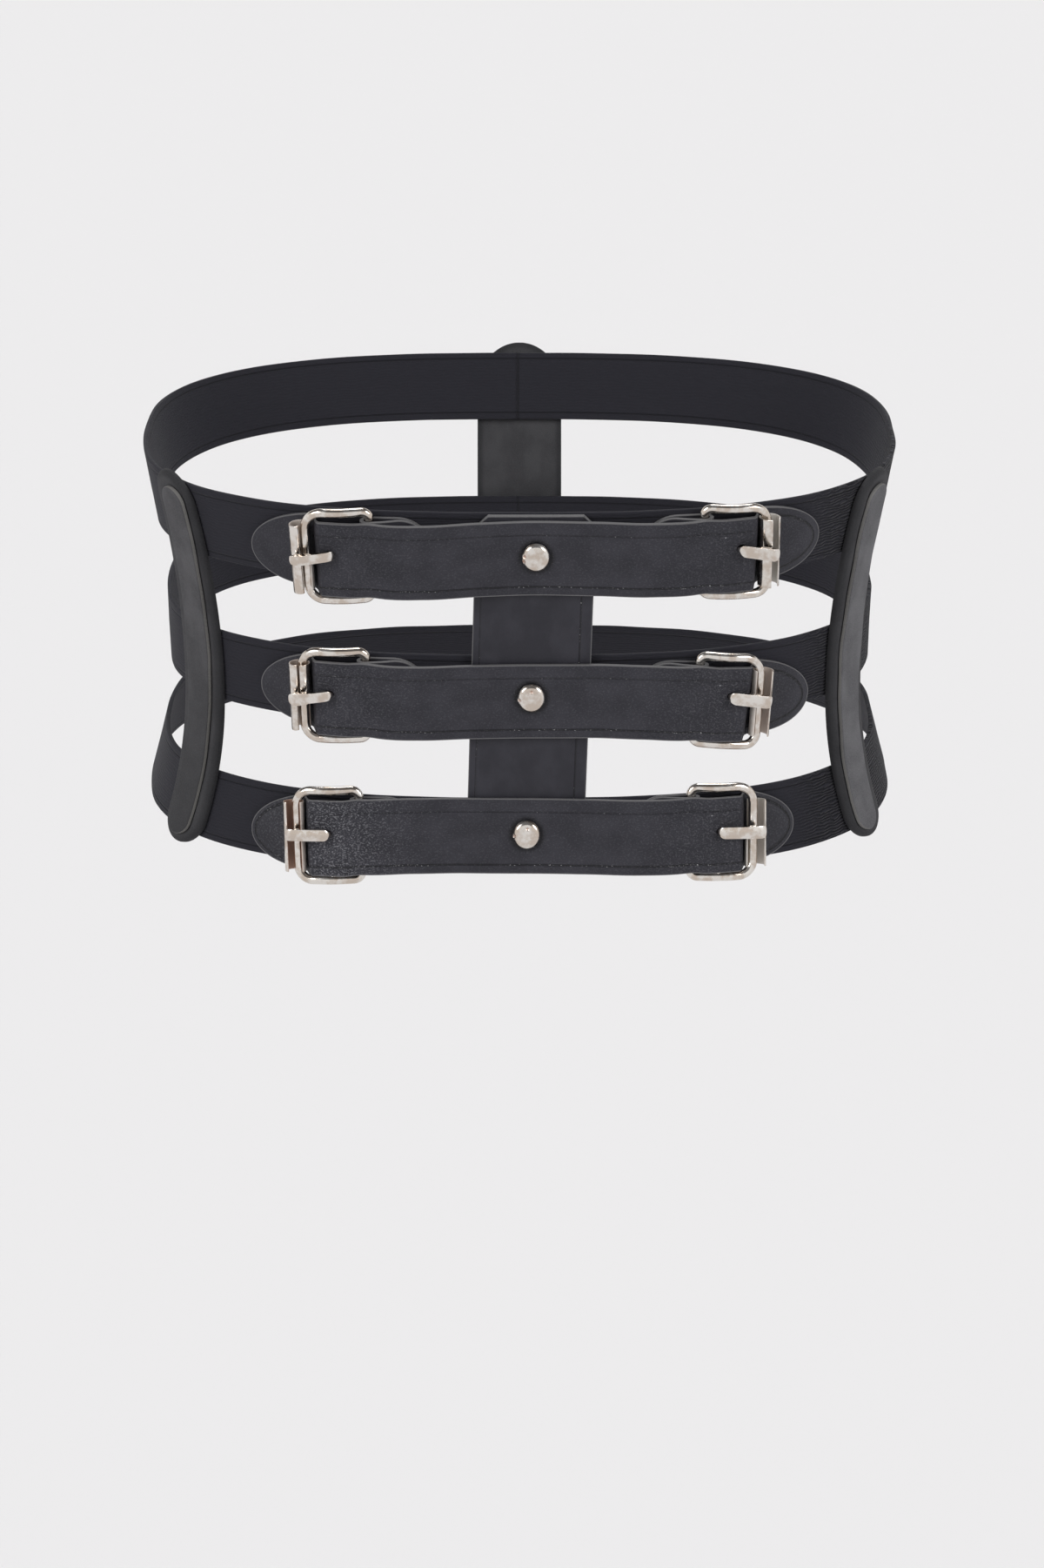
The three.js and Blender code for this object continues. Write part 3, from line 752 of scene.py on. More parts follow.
# One closed loop of elastic, whose edges stand off the form here and there
def makeBand(rowName):
    row = rows[rowName]
    deselect()
    bpy.ops.mesh.primitive_cylinder_add(
        vertices=band["segments"], radius=band["core"], depth=band["height"],
        end_fill_type="NOTHING",
    )
    piece = named("webbing_" + rowName)
    bpy.ops.object.mode_set(mode="EDIT")
    bpy.ops.mesh.select_mode(type="EDGE")
    bpy.ops.mesh.select_all(action="DESELECT")
    bpy.ops.object.mode_set(mode="OBJECT")
    points = readPoints(piece)
    for edge in piece.data.edges:
        a, b = edge.vertices
        edge.select = bool(abs(points[a][2] - points[b][2]) > 1)
    bpy.ops.object.mode_set(mode="EDIT")
    bpy.ops.mesh.subdivide(number_cuts=band["cuts"])
    bpy.ops.object.mode_set(mode="OBJECT")
    thicken(piece, band["thick"])
    roundEdges(piece, band["edgeRound"])
    x, y, z = readPoints(piece).T
    girth = np.interp(np.arctan2(x, -y), row["angles"], row["girths"]) - row["middle"]
    keepFlat(piece, girth, z, band["height"] / 2 - np.abs(z))

    def place(x, y, z):
        angle = np.arctan2(x, -y)
        out = np.hypot(x, y) - band["core"]
        slack = band["slack"] * np.sin(angle * band["slackWaves"] + row["height"]) * np.abs(z)
        return formPlace(angle, row["height"] + 0 * angle, z, out + slack * (out > 0.1))

    layOn(piece, place)
    smoothShade(piece)
    settle(piece, elasticWebbing, "elastic", "elastic_band_" + rowName)


for rowName in rows:
    makeBand(rowName)
print("elastic bands laid")

# How the six buckles differ: the ring's corner radii and how far its bar leans, the roller's place
# and length, how brown it is inside, and the prong's width, its wider end and the millimetres
# that it is raised at either end
buckleFit = {
    "top_left": {
        "cornerTop": 6.4, "cornerBottom": 5.4, "lean": 0,
        "offset": 1.5, "length": 23.7, "slide": -0.8, "brown": 0.25,
        "wide": 3.2, "collar": 0.04, "raised": -0.3, "raisedAtHole": 1.2, "prongEnd": "square",
    },
    "middle_left": {
        "cornerTop": 5.8, "cornerBottom": 5.2, "lean": 0,
        "offset": 0.9, "length": 23, "slide": -0.7, "brown": 0.45,
        "wide": 3.4, "collar": 0.22, "raised": -0.7, "raisedAtHole": 0.9, "prongEnd": "round",
    },
    "bottom_left": {
        "cornerTop": 5.5, "cornerBottom": 4.9, "lean": 0,
        "offset": 0.9, "length": 23.6, "slide": -0.5, "brown": 1,
        "wide": 3.9, "collar": 0, "raised": 0.4, "raisedAtHole": 0.5, "prongEnd": "pointed",
    },
    "top_right": {
        "cornerTop": 5.7, "cornerBottom": 3.8, "lean": -0.04,
        "offset": 0.9, "length": 24, "slide": -0.8, "brown": 0,
        "wide": 4, "collar": 0.06, "raised": -0.6, "raisedAtHole": 1.5, "prongEnd": "pointed",
    },
    "middle_right": {
        "cornerTop": 6.4, "cornerBottom": 4, "lean": -0.07,
        "offset": 0.9, "length": 22.6, "slide": -0.4, "brown": 0.4,
        "wide": 4.1, "collar": 0.02, "raised": 0.9, "raisedAtHole": 2, "prongEnd": "round",
    },
    "bottom_right": {
        "cornerTop": 6, "cornerBottom": 5, "lean": 0,
        "offset": 0.9, "length": 22.4, "slide": -1.1, "brown": 0.1,
        "wide": 4, "collar": 0.06, "raised": -0.3, "raisedAtHole": 0.2, "prongEnd": "round",
    },
}
prongUp = 0.6
# The share of a prong's width that goes through the leather
shankShare = 0.6

strapCut = {"half": 12.8, "endLength": 24, "alongSteps": 250, "acrossSteps": 34, "endShare": 0.13}
strap = {
    "thick": 1.8, "edgeRound": 0.42, "marginTop": 4.3, "marginBottom": 3.1, "thinned": 0.4,
    "seamFrom": 3, "holeLong": 3.8, "holeBack": 0.75, "holeRoom": 0.3,
    "rivetHead": 4.75, "dimple": 0.5, "dimpleReach": 2.4, "shadeRingAt": 0.35, "shadeRingReach": 0.75,
    "sparkleLight": 0.1, "sparkleLightAt": 12, "sparkleLightReach": 17, "tipCrease": 0.42,
}
# The crease inside each tip: its margin from the edge and how dark its painted shade is. Two tips
# have none.
tipSeams = {
    "top_left": (-3, 0), "middle_left": (-3, 0), "bottom_left": (1.7, 0.35),
    "top_right": (2.7, 0.9), "middle_right": (2.8, 1), "bottom_right": (1.8, 1),
}
# How much more painted sparkle highlight the grain gets inside each buckle
buckleSparkleLight = {
    "top_left": 0.1, "middle_left": 0.2, "bottom_left": 0.9,
    "top_right": 0.12, "middle_right": 0.2, "bottom_right": 0.22,
}
# How far out the strap's underside lies, by distance in from the outer bar
strapRise = [
    (-30, 1.9), (0.7, 1.9), (5.3, 8), (14.5, 8.3), (24.4, 8.4),
    (38, 6.4), (56, 4.9), (74, 4.6), (90, 4.6),
]
stitch = {
    "pitch": 4.9, "length": 3.7, "thick": 0.42, "segments": 7, "rings": 6,
    "sunk": {"top": 0.2, "middle": 0.18, "bottom": 0.36, "centre": 0.2},
}


def strapOut(inward):
    out = np.full(np.shape(inward), float(strapRise[-1][1]))
    for (nearIn, nearOut), (farIn, farOut) in zip(strapRise, strapRise[1:]):
        eased = nearOut + (farOut - nearOut) * smooth(nearIn, farIn, inward)
        out = np.where((inward >= nearIn) & (inward < farIn), eased, out)
    return out


# One stitch, modelled once; the copies are set along the line and become one thread
def makeThread(name, ends, place):
    deselect()
    bpy.ops.mesh.primitive_uv_sphere_add(
        segments=stitch["segments"], ring_count=stitch["rings"], radius=0.5,
        rotation=(0, math.pi / 2, 0),
    )
    one = bpy.context.object
    bpy.ops.object.transform_apply(location=True, rotation=True, scale=True)
    base = readPoints(one) * (stitch["length"], stitch["thick"], stitch["thick"])
    faces = [list(face.vertices) for face in one.data.polygons]
    bpy.ops.object.delete()
    start, stop = np.array(ends, float)
    length = np.linalg.norm(stop - start)
    count = int(length / stitch["pitch"])
    points, allFaces = [], []
    for i in range(count):
        spot = start + (stop - start) * (i + 0.5) / count
        allFaces += [[corner + len(points) * len(base) for corner in face] for face in faces]
        points.append(base + (spot[0], spot[1], 0))
    mesh = bpy.data.meshes.new(name)
    mesh.from_pydata(np.concatenate(points).tolist(), [], allFaces)
    thread = bpy.data.objects.new(name, mesh)
    bpy.context.scene.collection.objects.link(thread)
    layOn(thread, place)
    smoothShade(thread, 60)
    settle(thread, waxedThread, "strap_leather")


punch = {"around": 28, "depth": 12}


def punchHole(piece, x, y, long, wide):
    deselect()
    bpy.ops.mesh.primitive_cylinder_add(
        vertices=punch["around"], radius=0.5, depth=punch["depth"],
        location=(x, y, 0), scale=(long, wide, 1),
    )
    cutter = bpy.context.object
    finishWith(piece, "BOOLEAN", operation="DIFFERENCE", object=cutter, solver="EXACT")
    onlyThis(cutter)
    bpy.ops.object.delete()


# The strap's thickness: thinner along its margins and dimpled round the rivet
def strapTop(x, y, edge, rivetAt):
    margin = np.where(y > 0, strap["marginTop"], strap["marginBottom"])
    tapered = strap["thinned"] * (1 - smooth(0, 1, edge / (margin * 1.15)))
    fromHead = np.hypot(x, y - rivetAt) - strap["rivetHead"]
    dimple = strap["dimple"] * smooth(strap["dimpleReach"], -0.3, fromHead)
    return strap["thick"] - tapered - dimple


def makeStrap(rowName):
    row = rows[rowName]
    rivetAt = row["sag"]["middle"]
    cut = dict(strapCut, low=-row["left"]["tip"], high=row["right"]["tip"])
    piece, rim = cutLayer("strap_" + rowName, cut, strap)
    for side, sign in signs.items():
        hole = sign * (row[side]["buckle"] - row[side]["rise"] + strap["holeBack"])
        fit = buckleFit[rowName + "_" + side]
        holeWide = fit["wide"] * shankShare + strap["holeRoom"]
        holeUp = prongUp + fit["raisedAtHole"] + float(sagAt(row, np.array(hole)))
        punchHole(piece, hole, holeUp, strap["holeLong"], holeWide)

    def shape(x, y, z):
        return asPoints(x, y, z * strapTop(x, y, distanceTo(x, y, rim), rivetAt) / strap["thick"])

    movePoints(piece, shape)
    x, y, z = readPoints(piece).T
    edge = distanceTo(x, y, rim)
    half = strapCut["half"]
    seamsUp = {"upper": half - strap["marginTop"], "lower": strap["marginBottom"] - half}
    seam = np.minimum(np.abs(y - seamsUp["upper"]), np.abs(y - seamsUp["lower"]))
    # Painted shadow: a dark ring in the dimple round the rivet head, and painted shade along the
    # crease inside some tips
    fromHead = np.hypot(x, y - rivetAt) - strap["rivetHead"]
    paintedShade = bell(fromHead - strap["shadeRingAt"], strap["shadeRingReach"])
    # Painted highlight: how strongly the grain sparkles, stronger near each buckle's bar
    sparkleLight = np.full(len(x), strap["sparkleLight"])
    for side, sign in signs.items():
        end = rowName + "_" + side
        margin, share = tipSeams[end]
        isTip = sign * x > row[side]["buckle"]
        seam = np.where(isTip, np.abs(edge - margin), seam)
        paintedShade = np.where(isTip, share * bell(edge - margin, strap["tipCrease"]), paintedShade)
        nearBar = sign * x - row[side]["buckle"] + strap["sparkleLightAt"]
        sparkleLight += buckleSparkleLight[end] * bell(nearBar, strap["sparkleLightReach"])
    keepFlat(piece, x, y, edge)
    keepSeam(piece, z, seam)
    keepValues(piece, "paintedShade", paintedShade)
    keepValues(piece, "sparkleLight", sparkleLight)

    def place(x, y, z):
        inward = perSide(x, row, "buckle") - np.abs(x)
        return onRow(row, x, y - sagAt(row, x), strapOut(inward) + z)

    def placeThread(x, y, z):
        top = strapTop(x, y, distanceTo(x, y, rim), rivetAt)
        return place(x, y, z + top - stitch["sunk"][rowName])

    seamEnds = [sign * (row[side]["buckle"] - strap["seamFrom"]) for side, sign in signs.items()]
    for label, up in seamsUp.items():
        ends = [(end, up) for end in seamEnds]
        makeThread("stitching_" + rowName + "_" + label, ends, placeThread)
    layOn(piece, place)
    smoothShade(piece)
    settle(piece, strapLeather, "strap_leather", "front_strap_" + rowName)


for rowName in rows:
    makeStrap(rowName)
print("front straps laid")

centreCut = {
    "low": -60, "high": 62, "half": 19.2, "endLength": 3.8, "ends": "clipped",
    "alongSteps": 130, "acrossSteps": 40, "endShare": 0.06,
}
centreStrap = {
    "out": 1.85, "thick": 2, "shift": -0.5, "edgeRound": 0.4,
    "seamLeft": 2.5, "seamRight": 3.6, "seamFrom": 3, "fold": 2.6,
}


def makeCentreStrap():
    piece, rim = cutLayer("centreStrap", centreCut, centreStrap)
    x, y, z = readPoints(piece).T
    half = centreCut["half"]
    seamsAcross = {"left": half - centreStrap["seamLeft"], "right": centreStrap["seamRight"] - half}
    seam = np.abs(centreCut["high"] - centreStrap["fold"] - x)
    for across in seamsAcross.values():
        seam = np.minimum(seam, np.abs(y - across))
    keepFlat(piece, x, y, distanceTo(x, y, rim))
    keepSeam(piece, z, seam)

    def place(x, y, z):
        girth = centreLine["girth"] + centreLine["lean"] * x + centreStrap["shift"] - y
        return formPlace(angleAcross(0, x, girth), x, 0 * x, centreStrap["out"] + z)

    def placeThread(x, y, z):
        return place(x, y, z + centreStrap["thick"] - stitch["sunk"]["centre"])

    ends = (centreCut["low"] + centreStrap["seamFrom"], centreCut["high"] - centreStrap["seamFrom"])
    for label, across in seamsAcross.items():
        makeThread("centreStitching_" + label, [(end, across) for end in ends], placeThread)
    layOn(piece, place)
    smoothShade(piece)
    settle(piece, strapLeather, "strap_leather", "centre_strap")


makeCentreStrap()

tabAngles = {"left": -62, "right": 64.7}
tabTops = {"left": {"tab": 65.5, "facing": 61.4}, "right": {"tab": 64.4, "facing": 60.2}}
tabCut = {
    "low": -66, "half": 9.7, "endLength": 9.7,
    "alongSteps": 190, "acrossSteps": 34, "endShare": 0.13,
}
facingCut = {
    "low": -63, "half": 5.2, "endLength": 5.2,
    "alongSteps": 190, "acrossSteps": 20, "endShare": 0.08,
}
tab = {
    "out": 2, "thick": 2.6, "wall": 0.9, "roll": 2.6,
    "lip": 0.42, "lipAway": 0.75, "lipWide": 0.34,
}
facing = {
    "out": 4.95, "thick": 1.4, "wall": 0.75, "roll": 0.55, "shift": 1.4,
    "wave": {"left": 0.12, "right": 0.26}, "lean": {"left": 1.2, "right": -0.6},
}


def layUpright(piece, middle, out):
    def place(x, y, z):
        return formPlace(middle + angleAcross(middle, x, -y), x, 0 * x, out + z)

    layOn(piece, place)
    smoothShade(piece, 40)


# A side tab and its facing, round which the tab's leather is pushed up into a lip
def makeTab(side):
    inward = -signs[side]
    middle = math.radians(tabAngles[side])
    facingMiddle = middle + float(angleAcross(middle, waist["neck"], inward * facing["shift"]))
    top = tabTops[side]
    body, rim = cutLayer("tab_" + side, dict(tabCut, high=top["tab"]), tab)
    capCut = dict(facingCut, high=top["facing"], wave=facing["wave"][side])
    cap, capRim = cutLayer("facing_" + side, capCut, facing)

    def leaning(x):
        return inward * facing["lean"][side] * x / top["facing"]

    def lipped(x, y, z):
        aside = y + inward * facing["shift"] + leaning(x)
        lip = tab["lip"] * bell(distanceTo(x, aside, capRim) - tab["lipAway"], tab["lipWide"])
        isOutside = np.abs(aside) >= facingCut["half"]
        return asPoints(x, y, z + np.where((z > 1) & isOutside, lip, 0))

    movePoints(body, lipped)
    for piece, edges in ((body, rim), (cap, capRim)):
        x, y, z = readPoints(piece).T
        keepFlat(piece, x, y, distanceTo(x, y, edges))
    movePoints(cap, lambda x, y, z: asPoints(x, y - leaning(x), z))
    layUpright(body, middle, tab["out"])
    layUpright(cap, facingMiddle, facing["out"])
    settle(body, tabLeather, "tab_leather", "side_tab_" + side)
    settle(cap, facingLeather[side], "tab_leather", "side_facing_" + side)


for side in tabAngles:
    makeTab(side)

backCut = {
    "low": -64, "high": 64.5, "half": 15, "endLength": 15,
    "alongSteps": 130, "acrossSteps": 36, "endShare": 0.16,
}
backTab = {"out": 2, "thick": 2.2, "wall": 1.1, "roll": 1.6}


def makeBackTab():
    piece, rim = cutLayer("backTab", backCut, backTab)
    x, y, z = readPoints(piece).T
    keepFlat(piece, x, y, distanceTo(x, y, rim))
    layUpright(piece, math.pi, backTab["out"])
    settle(piece, tabLeather, "tab_leather", "back_tab")


makeBackTab()
print("upright pieces laid")

heelBack = 20.8
buckleFrame = {
    "height": 33.3, "cornerHeel": 2.6, "heelOut": 4.95, "barOut": 7.6, "bow": 1.4,
    "halfWide": 1.5, "halfDeep": 1.42, "squareness": 2.2,
    "stations": 150, "around": 20, "core": 30.0,
}


# The ring's centre line, evenly spaced, starting in the middle of the outer bar
def frameStations(fit):
    half = buckleFrame["height"] / 2 - buckleFrame["halfWide"]
    top, bottom, heel = fit["cornerTop"], fit["cornerBottom"], buckleFrame["cornerHeel"]
    line = np.concatenate([
        [(0.0, 0.0)],
        arcPath((-top, half - top), top, 0, 90),
        arcPath((-heelBack + heel, half - heel), heel, 90, 180),
        arcPath((-heelBack + heel, heel - half), heel, 180, 270),
        arcPath((-bottom, bottom - half), bottom, 270, 360),
        [(0.0, 0.0)],
    ])
    runs = runsOf(line)
    points = pointsAt(line, runs, np.linspace(0, runs[-1], buckleFrame["stations"], endpoint=False))
    heading = unit(np.roll(points, -1, axis=0) - np.roll(points, 1, axis=0))
    return points, asPoints(heading[:, 1], -heading[:, 0])


def makeBuckleFrame(row, side, end):
    deselect()
    bpy.ops.mesh.primitive_torus_add(
        major_segments=buckleFrame["stations"], minor_segments=buckleFrame["around"],
        major_radius=buckleFrame["core"], minor_radius=buckleFrame["halfWide"],
    )
    piece = named("buckle_" + end)
    points, sides = frameStations(buckleFit[end])
    power = buckleFrame["squareness"]

    def shape(x, y, z):
        turn = np.arctan2(y, x) / (2 * math.pi) * buckleFrame["stations"]
        station = np.round(turn).astype(int) % buckleFrame["stations"]
        around = np.arctan2(z, np.hypot(x, y) - buckleFrame["core"])
        reach = (np.abs(np.cos(around)) ** power + np.abs(np.sin(around)) ** power) ** (-1 / power)
        wide = reach * np.cos(around) * buckleFrame["halfWide"]
        deep = reach * np.sin(around) * buckleFrame["halfDeep"]
        spot = points[station] + sides[station] * wide[:, None]
        part = np.clip(-points[station][:, 0] / heelBack, 0, 1)
        out = buckleFrame["barOut"] + (buckleFrame["heelOut"] - buckleFrame["barOut"]) * part
        out = out + buckleFrame["bow"] * np.sin(math.pi * part)
        leaning = buckleFit[end]["lean"] * spot[:, 1] * (1 - part)
        return asPoints(spot[:, 0] + leaning, spot[:, 1], out + deep)

    movePoints(piece, shape)
    layOnBuckle(piece, row, side)
    smoothShade(piece, 60)
    settle(piece, polishedNickel, "nickel", "buckle_frame_" + end)


roller = {
    "outer": 3.5, "wall": 0.45, "edgeRound": 0.1, "twist": 1.6,
    "aroundSteps": 96, "lengthSteps": 30,
    "soiled": 2.4, "soiledShare": 0.7, "brownOutside": 0.35,
}
# The rolled sheet's two edges above and below the prong, in degrees from outward along the row,
# and how far each edge is curled in again: radius and degrees
rollerLips = {
    "top_left": {"upper": (68, 236), "lower": (74, 160), "outerCurl": (1.1, 125)},
    "middle_left": {
        "upper": (72, 136), "lower": (56, 232), "outerCurl": (0.8, 130), "innerCurl": (1.4, 60),
    },
    "bottom_left": {"upper": (64, 149), "lower": (62, 149)},
    "top_right": {"upper": (44, 95), "lower": (46, 97)},
    "middle_right": {"upper": (50, 148), "lower": (48, 140)},
    "bottom_right": {"upper": (40, 232), "lower": (42, 164)},
}
# Rollers whose wall beside the strap is dulled as well
soiledRollers = ("top_left", "bottom_left", "middle_right", "bottom_right")
rollerCore = roller["outer"] - roller["wall"] / 2


def curlAt(lip, curl, turn):
    radius, degrees = curl
    middle, angle = rollerCore - radius, math.radians(lip)
    centre = (middle * math.cos(angle), middle * math.sin(angle))
    return arcPath(centre, radius, lip, lip + turn * degrees, 16)


# The sheet's side view, from its inner edge round behind the bar to its outer edge
def rollerProfile(lips, edges):
    outerLip, innerLip = edges
    path = arcPath((0, 0), rollerCore, innerLip, 360 + outerLip, 80)
    if "outerCurl" in lips:
        path = np.concatenate([path, curlAt(outerLip, lips["outerCurl"], 1)[1:]])
    if "innerCurl" in lips and innerLip < 180:
        path = np.concatenate([curlAt(innerLip, lips["innerCurl"], -1)[::-1], path[1:]])
    return path


# The tube is rolled to its upper and to its lower profile, and turns from one to the other
# under the prong
def makeRoller(row, side, end):
    fit, lips = buckleFit[end], rollerLips[end]
    piece = flatGrid("rolled_" + end, roller["aroundSteps"], roller["lengthSteps"])
    lower, upper = (rollerProfile(lips, lips[half]) for half in ("lower", "upper"))
    around = (pathLength(upper) + pathLength(lower)) / 2
    movePoints(piece, lambda x, y, z: asPoints((x + 1) / 2 * around, y * fit["length"] / 2, z))
    thicken(piece, roller["wall"], 0)
    roundEdges(piece, roller["edgeRound"], 2)
    flat = readPoints(piece)
    isInside = flat[:, 2] > 0.1
    isSoiled = (flat[:, 0] < roller["soiled"]) & (end in soiledRollers)
    keepValues(piece, "inside", np.where(isInside, 1.0, isSoiled * roller["soiledShare"]))
    keepValues(piece, "brown", fit["brown"] * np.where(isInside, 1.0, roller["brownOutside"]))

    def rolledTo(path):
        movePoints(piece, lambda x, y, z: flat * (pathLength(path) / around, 1, 1))
        foldAlong(piece, path)
        return readPoints(piece)

    below, above = rolledTo(lower), rolledTo(upper)
    share = smooth(prongUp - roller["twist"], prongUp + roller["twist"], flat[:, 1])[:, None]
    shift = np.array([fit["offset"], fit["slide"], buckleFrame["barOut"]])
    movePoints(piece, lambda x, y, z: below + (above - below) * share)
    movePoints(piece, lambda x, y, z: asPoints(x + fit["lean"] * y, y, z) + shift)
    layOnBuckle(piece, row, side)
    smoothShade(piece)
    settle(piece, polishedNickel, "nickel", "buckle_roller_" + end)


prongCut = {
    "low": 0, "endLength": 0.9, "ends": "rounded",
    "alongSteps": 150, "acrossSteps": 8, "endShare": 0.03,
}
prong = {
    "thick": 2.1, "eyeThick": 1.25, "eyeFrom": -30, "eyeTo": 270, "eyeRun": 2.5,
    "shankOut": 2.9, "lift": 0.85, "kneeLift": 0.6, "bend": 1.5,
    "edgeRound": 0.62, "roundSteps": 4, "crown": 0.22,
}


# The share of its width that a prong's inner end keeps at the very end, and the length of its taper
prongEnds = {"square": (0.82, 0.5), "pointed": (0.34, 1.5)}


def endWidth(fit, fromEnd):
    if fit["prongEnd"] in prongEnds:
        kept, taper = prongEnds[fit["prongEnd"]]
        return kept + (1 - kept) * np.clip(fromEnd / taper, 0, 1)
    part = np.clip(fromEnd / (fit["wide"] / 2), 0.03, 1)
    return np.sqrt(1 - (1 - part) ** 2)


# From the eye round the heel bar, under the strap, up through its hole and out over the roller
def prongPath(rise, over):
    half = prong["thick"] / 2
    eyeRadius = buckleFrame["halfWide"] + layerGap + prong["eyeThick"] / 2
    eyeCentre = (-heelBack, buckleFrame["heelOut"])
    eye = arcPath(eyeCentre, eyeRadius, prong["eyeFrom"], prong["eyeTo"], 40)
    kneeOut = float(strapOut(rise)) + strap["thick"] + layerGap + half + prong["kneeLift"]
    restOut = buckleFrame["barOut"] + roller["outer"] + prong["lift"] + half
    shankOut, bend = prong["shankOut"], prong["bend"]
    corners = [
        (-heelBack + 1.5, eye[-1][1] + 0.1), (-heelBack + 4.5, shankOut), (-rise, shankOut),
        (-rise, kneeOut), (-0.2, restOut + 0.05),
        (over - 0.2, restOut - 0.1), (over + 0.4, restOut - 0.6),
    ]
    return np.concatenate([eye, roundedPath(corners, [0, 2, bend, bend, 2.5, 0.8, 0], 10)])


def makeProng(row, side, end):
    fit, rise = buckleFit[end], row[side]["rise"]
    path = prongPath(rise, row[side]["over"])
    length = pathLength(path)
    cut = dict(prongCut, high=length, half=fit["wide"] / 2)
    piece, _ = cutLayer("prong_" + end, cut, prong, 0)
    eyeLength = pathLength(arcPath((0, 0), prong["eyeRun"], prong["eyeFrom"], prong["eyeTo"]))
    shankRun = eyeLength + heelBack - rise - prong["bend"]
    leatherOut = float(strapOut(rise)) + strap["thick"]
    eyeShare = prong["eyeThick"] / prong["thick"]

    def shape(x, y, z):
        share = smooth(eyeLength - 1, eyeLength + 4, x)
        thick = eyeShare + (1 - eyeShare) * share
        wider = smooth(length - 6.2, length - 5, x) * smooth(length - 0.2, length - 1.2, x)
        crown = prong["crown"] * (y / fit["wide"] * 2) ** 2 * share * (z > 0.3)
        return asPoints(x, y * (1 + fit["collar"] * wider), z * thick - crown)

    movePoints(piece, shape)
    runs = readPoints(piece)[:, 0]
    foldAlong(piece, path)

    # Narrows the shank in the hole and the end, and tilts the prong
    def finish(x, y, z):
        width = endWidth(fit, x + rise + prong["thick"] / 2)
        lifted = fit["raised"] + (fit["raisedAtHole"] - fit["raised"]) * np.clip(-x / rise, 0, 1)
        shank = shankShare + (1 - shankShare) * smooth(leatherOut - 0.1, leatherOut + 1.5, z)
        shank = 1 + (shank - 1) * smooth(1 - rise, -rise, x - 1.1) * smooth(-rise - 7, -rise - 4, x)
        return asPoints(x, y * shank * np.where(runs > shankRun, width, 1) + prongUp + lifted, z)

    movePoints(piece, finish)
    layOnBuckle(piece, row, side)
    smoothShade(piece, 50)
    settle(piece, polishedNickel, "nickel", "buckle_prong_" + end)


chapeCut = {
    "low": 0, "half": 12.2, "endLength": 12.2,
    "alongSteps": 110, "acrossSteps": 30, "endShare": 0.2,
}
chape = {
    "thick": 1.2, "length": 20.6, "join": 12, "shoulder": 5, "seam": 2.4,
    "slotLong": 12, "slotWide": 5, "edgeRound": 0.3,
}


# The fold's side view from its lower end, round the heel bar and back, and where its slot is
def chapePath():
    radius = buckleFrame["halfWide"] + layerGap + chape["thick"] / 2
    lower = centreStrap["out"] + chape["thick"] / 2
    upper = lower + chape["thick"]
    end = -heelBack - chape["length"]
    wrap = arcPath((-heelBack, buckleFrame["heelOut"]), radius, -90, 90)
    below = np.array([[end, lower], [-heelBack - 1.5, lower]])
    shoulder = (-heelBack - chape["shoulder"], buckleFrame["heelOut"] + radius - 1.0)
    join = (-heelBack - chape["join"], upper + 0.3)
    above = roundedPath([tuple(wrap[-1]), shoulder, join, (end, upper)], [0, 3, 5, 0], 12)
    return np.concatenate([below, wrap, above[1:]]), pathLength(below) + pathLength(wrap) / 2


def makeChape(row, side, end):
    path, slotAt = chapePath()
    piece, rim = cutLayer("chapeFold_" + end, dict(chapeCut, high=pathLength(path)), chape, 0)
    punchHole(piece, slotAt, prongUp, chape["slotLong"], chape["slotWide"])
    x, y, z = readPoints(piece).T
    edge = distanceTo(x, y, rim)
    keepFlat(piece, x, y, edge)
    keepValues(piece, "seam", np.abs(edge - chape["seam"]))
    foldAlong(piece, path)
    layOnBuckle(piece, row, side)
    smoothShade(piece)
    settle(piece, strapLeather, "strap_leather", "chape_" + end)


for rowName, row in rows.items():
    for side in signs:
        end = rowName + "_" + side
        makeChape(row, side, end)
        makeBuckleFrame(row, side, end)
        makeRoller(row, side, end)
        makeProng(row, side, end)
print("buckles set")

# A rivet's turned profile, drawn up ring by ring from the cap behind to the head
rivet = {
    "cap": 3.7, "capOut": -1.2, "shank": 1.7, "around": 72,
    "head": strap["rivetHead"], "seat": 6.42, "rim": 6.95, "crown": 1.3, "flatness": 7,
    "edgeRound": 0.1, "headShape": (0.95, 1.04, 1),
}
rivetRings = [
    (rivet["cap"], rivet["capOut"]), (rivet["cap"], -layerGap), (rivet["shank"], -layerGap),
    (rivet["shank"], rivet["seat"]), (rivet["head"], rivet["seat"]), (rivet["head"], rivet["rim"]),
]
for share in np.linspace(0.965, 0.08, 20):
    crown = rivet["crown"] * (1 - share ** rivet["flatness"])
    rivetRings.append((rivet["head"] * share, rivet["rim"] + crown))
# Small dents in each head: across, up, reach and depth
nicks = {
    "top": [(-3.9, 0.6, 0.45, 0.7), (-4.2, -1.1, 0.5, 0.7)],
    "middle": [(0.1, 2.5, 0.5, 0.5), (-4.1, -0.5, 0.45, 0.6)],
    "bottom": [(0.3, 2.2, 0.45, 0.5), (-4.3, -0.3, 0.4, 0.7)],
}


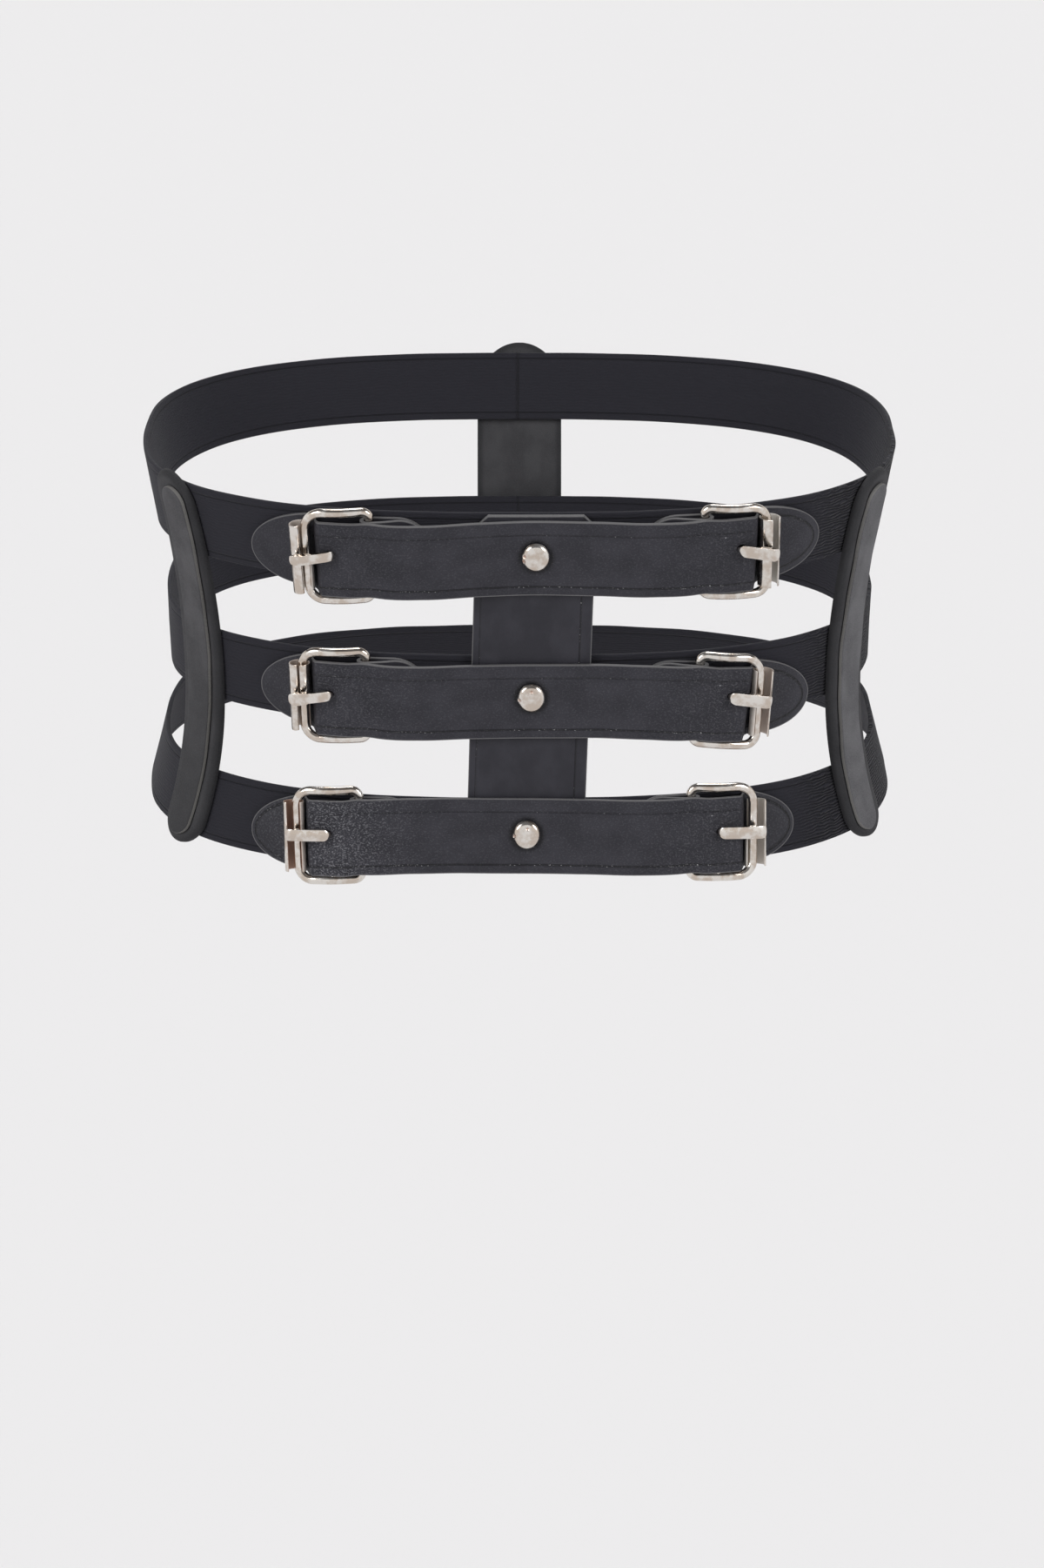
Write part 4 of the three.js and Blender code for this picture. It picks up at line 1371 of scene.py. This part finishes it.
def makeRivet(rowName):
    row = rows[rowName]
    radius, out = rivetRings[0]
    deselect()
    bpy.ops.mesh.primitive_circle_add(
        vertices=rivet["around"], radius=radius, fill_type="NGON", location=(0, 0, out)
    )
    piece = named("rivetHead_" + rowName)
    bpy.ops.object.mode_set(mode="EDIT")
    bpy.ops.mesh.select_all(action="SELECT")
    for nextRadius, nextOut in rivetRings[1:]:
        bpy.ops.mesh.extrude_region_move(TRANSFORM_OT_translate={"value": (0, 0, nextOut - out)})
        scale = nextRadius / radius
        bpy.ops.transform.resize(value=(scale, scale, 1), center_override=(0, 0, nextOut))
        radius, out = nextRadius, nextOut
    bpy.ops.mesh.select_all(action="SELECT")
    bpy.ops.mesh.normals_make_consistent(inside=False)
    bpy.ops.object.mode_set(mode="OBJECT")
    bpy.ops.object.transform_apply(location=True, rotation=True, scale=True)
    roundEdges(piece, rivet["edgeRound"], 2, 40)

    x, y, z = readPoints(piece).T
    dents = np.zeros(len(x))
    for across, up, reach, deep in nicks[rowName]:
        dents += deep * bell(np.hypot(x - across, y - up), reach) * (z > rivet["rim"] + 0.05)
    keepValues(piece, "inside", np.clip(dents * 2, 0, 1))
    keepValues(piece, "brown", np.ones(len(x)))
    movePoints(piece, lambda x, y, z: asPoints(x, y, z - dents) * rivet["headShape"])
    layOn(piece, lambda x, y, z: onRow(row, x, y, z))
    smoothShade(piece, 30)
    settle(piece, polishedNickel, "nickel", "rivet_" + rowName)


for rowName in rows:
    makeRivet(rowName)
print("rivets set")

floor = {"height": -0.7, "size": 120, "paint": (0.80, 0.793, 0.797, 1)}
deselect()
bpy.ops.mesh.primitive_plane_add(size=floor["size"], location=(0, 0, floor["height"]))
ground = named("floor")
paper, _, paperShader = newMaterial("palePaper", Roughness=0.9)
paperShader.inputs["Base Color"].default_value = floor["paint"]
ground.data.materials.append(paper)

lights = {
    "left": {"azimuth": -56, "elevation": 30, "softness": 28, "power": 1.4},
    "right": {"azimuth": 58, "elevation": 29, "softness": 28, "power": 1.3},
    "behind": {"azimuth": 176, "elevation": 60, "softness": 24, "power": 1.15},
}
for name, light in lights.items():
    lamp = bpy.data.lights.new("soft_" + name, "SUN")
    lamp.angle = math.radians(light["softness"])
    lamp.energy = light["power"]
    holder = bpy.data.objects.new("soft_" + name, lamp)
    turn, rise = math.radians(light["azimuth"]), math.radians(light["elevation"])
    level = math.cos(rise)
    toLight = Vector((math.sin(turn) * level, -math.cos(turn) * level, math.sin(rise)))
    holder.location = toLight * 3
    holder.rotation_euler = (-toLight).to_track_quat("-Z", "Y").to_euler()
    bpy.context.scene.collection.objects.link(holder)

# Bright walls all round under a dark ceiling, which the metal's upper faces mirror
studio = {
    "walls": (0.93, 0.925, 0.92, 1), "wallTop": 0.34,
    "ceiling": (0.17, 0.17, 0.175, 1), "ceilingFrom": 0.52,
}
world = bpy.data.worlds.new("studio")
bpy.context.scene.world = world
world.use_nodes = True
worldTree = world.node_tree
direction = addNode(worldTree, "ShaderNodeTexCoord").outputs["Generated"]
upward = addNode(worldTree, "ShaderNodeSeparateXYZ", {0: direction}).outputs["Z"]
overhead = ramp(worldTree, upward, studio["wallTop"], studio["ceilingFrom"])
surround = blendColours(worldTree, overhead, studio["walls"], studio["ceiling"])
worldTree.links.new(surround, worldTree.nodes["Background"].inputs["Color"])
bpy.context.scene.view_settings.view_transform = "Standard"

camera = {
    "distance": 1.69, "elevation": 20.78, "target": (0.00095, 0, -0.0663),
    "focal": 5522, "imageHeight": 1802,
}
rise = math.radians(camera["elevation"])
back = Vector((0, -math.cos(rise), math.sin(rise)))
lens = bpy.data.cameras.new("camera")
lens.lens = camera["focal"] / camera["imageHeight"] * lens.sensor_width
viewer = bpy.data.objects.new("camera", lens)
viewer.location = Vector(camera["target"]) + back * camera["distance"]
viewer.rotation_euler = (math.radians(90 - camera["elevation"]), 0, 0)
bpy.context.scene.collection.objects.link(viewer)
bpy.context.scene.camera = viewer

print("scene ready")
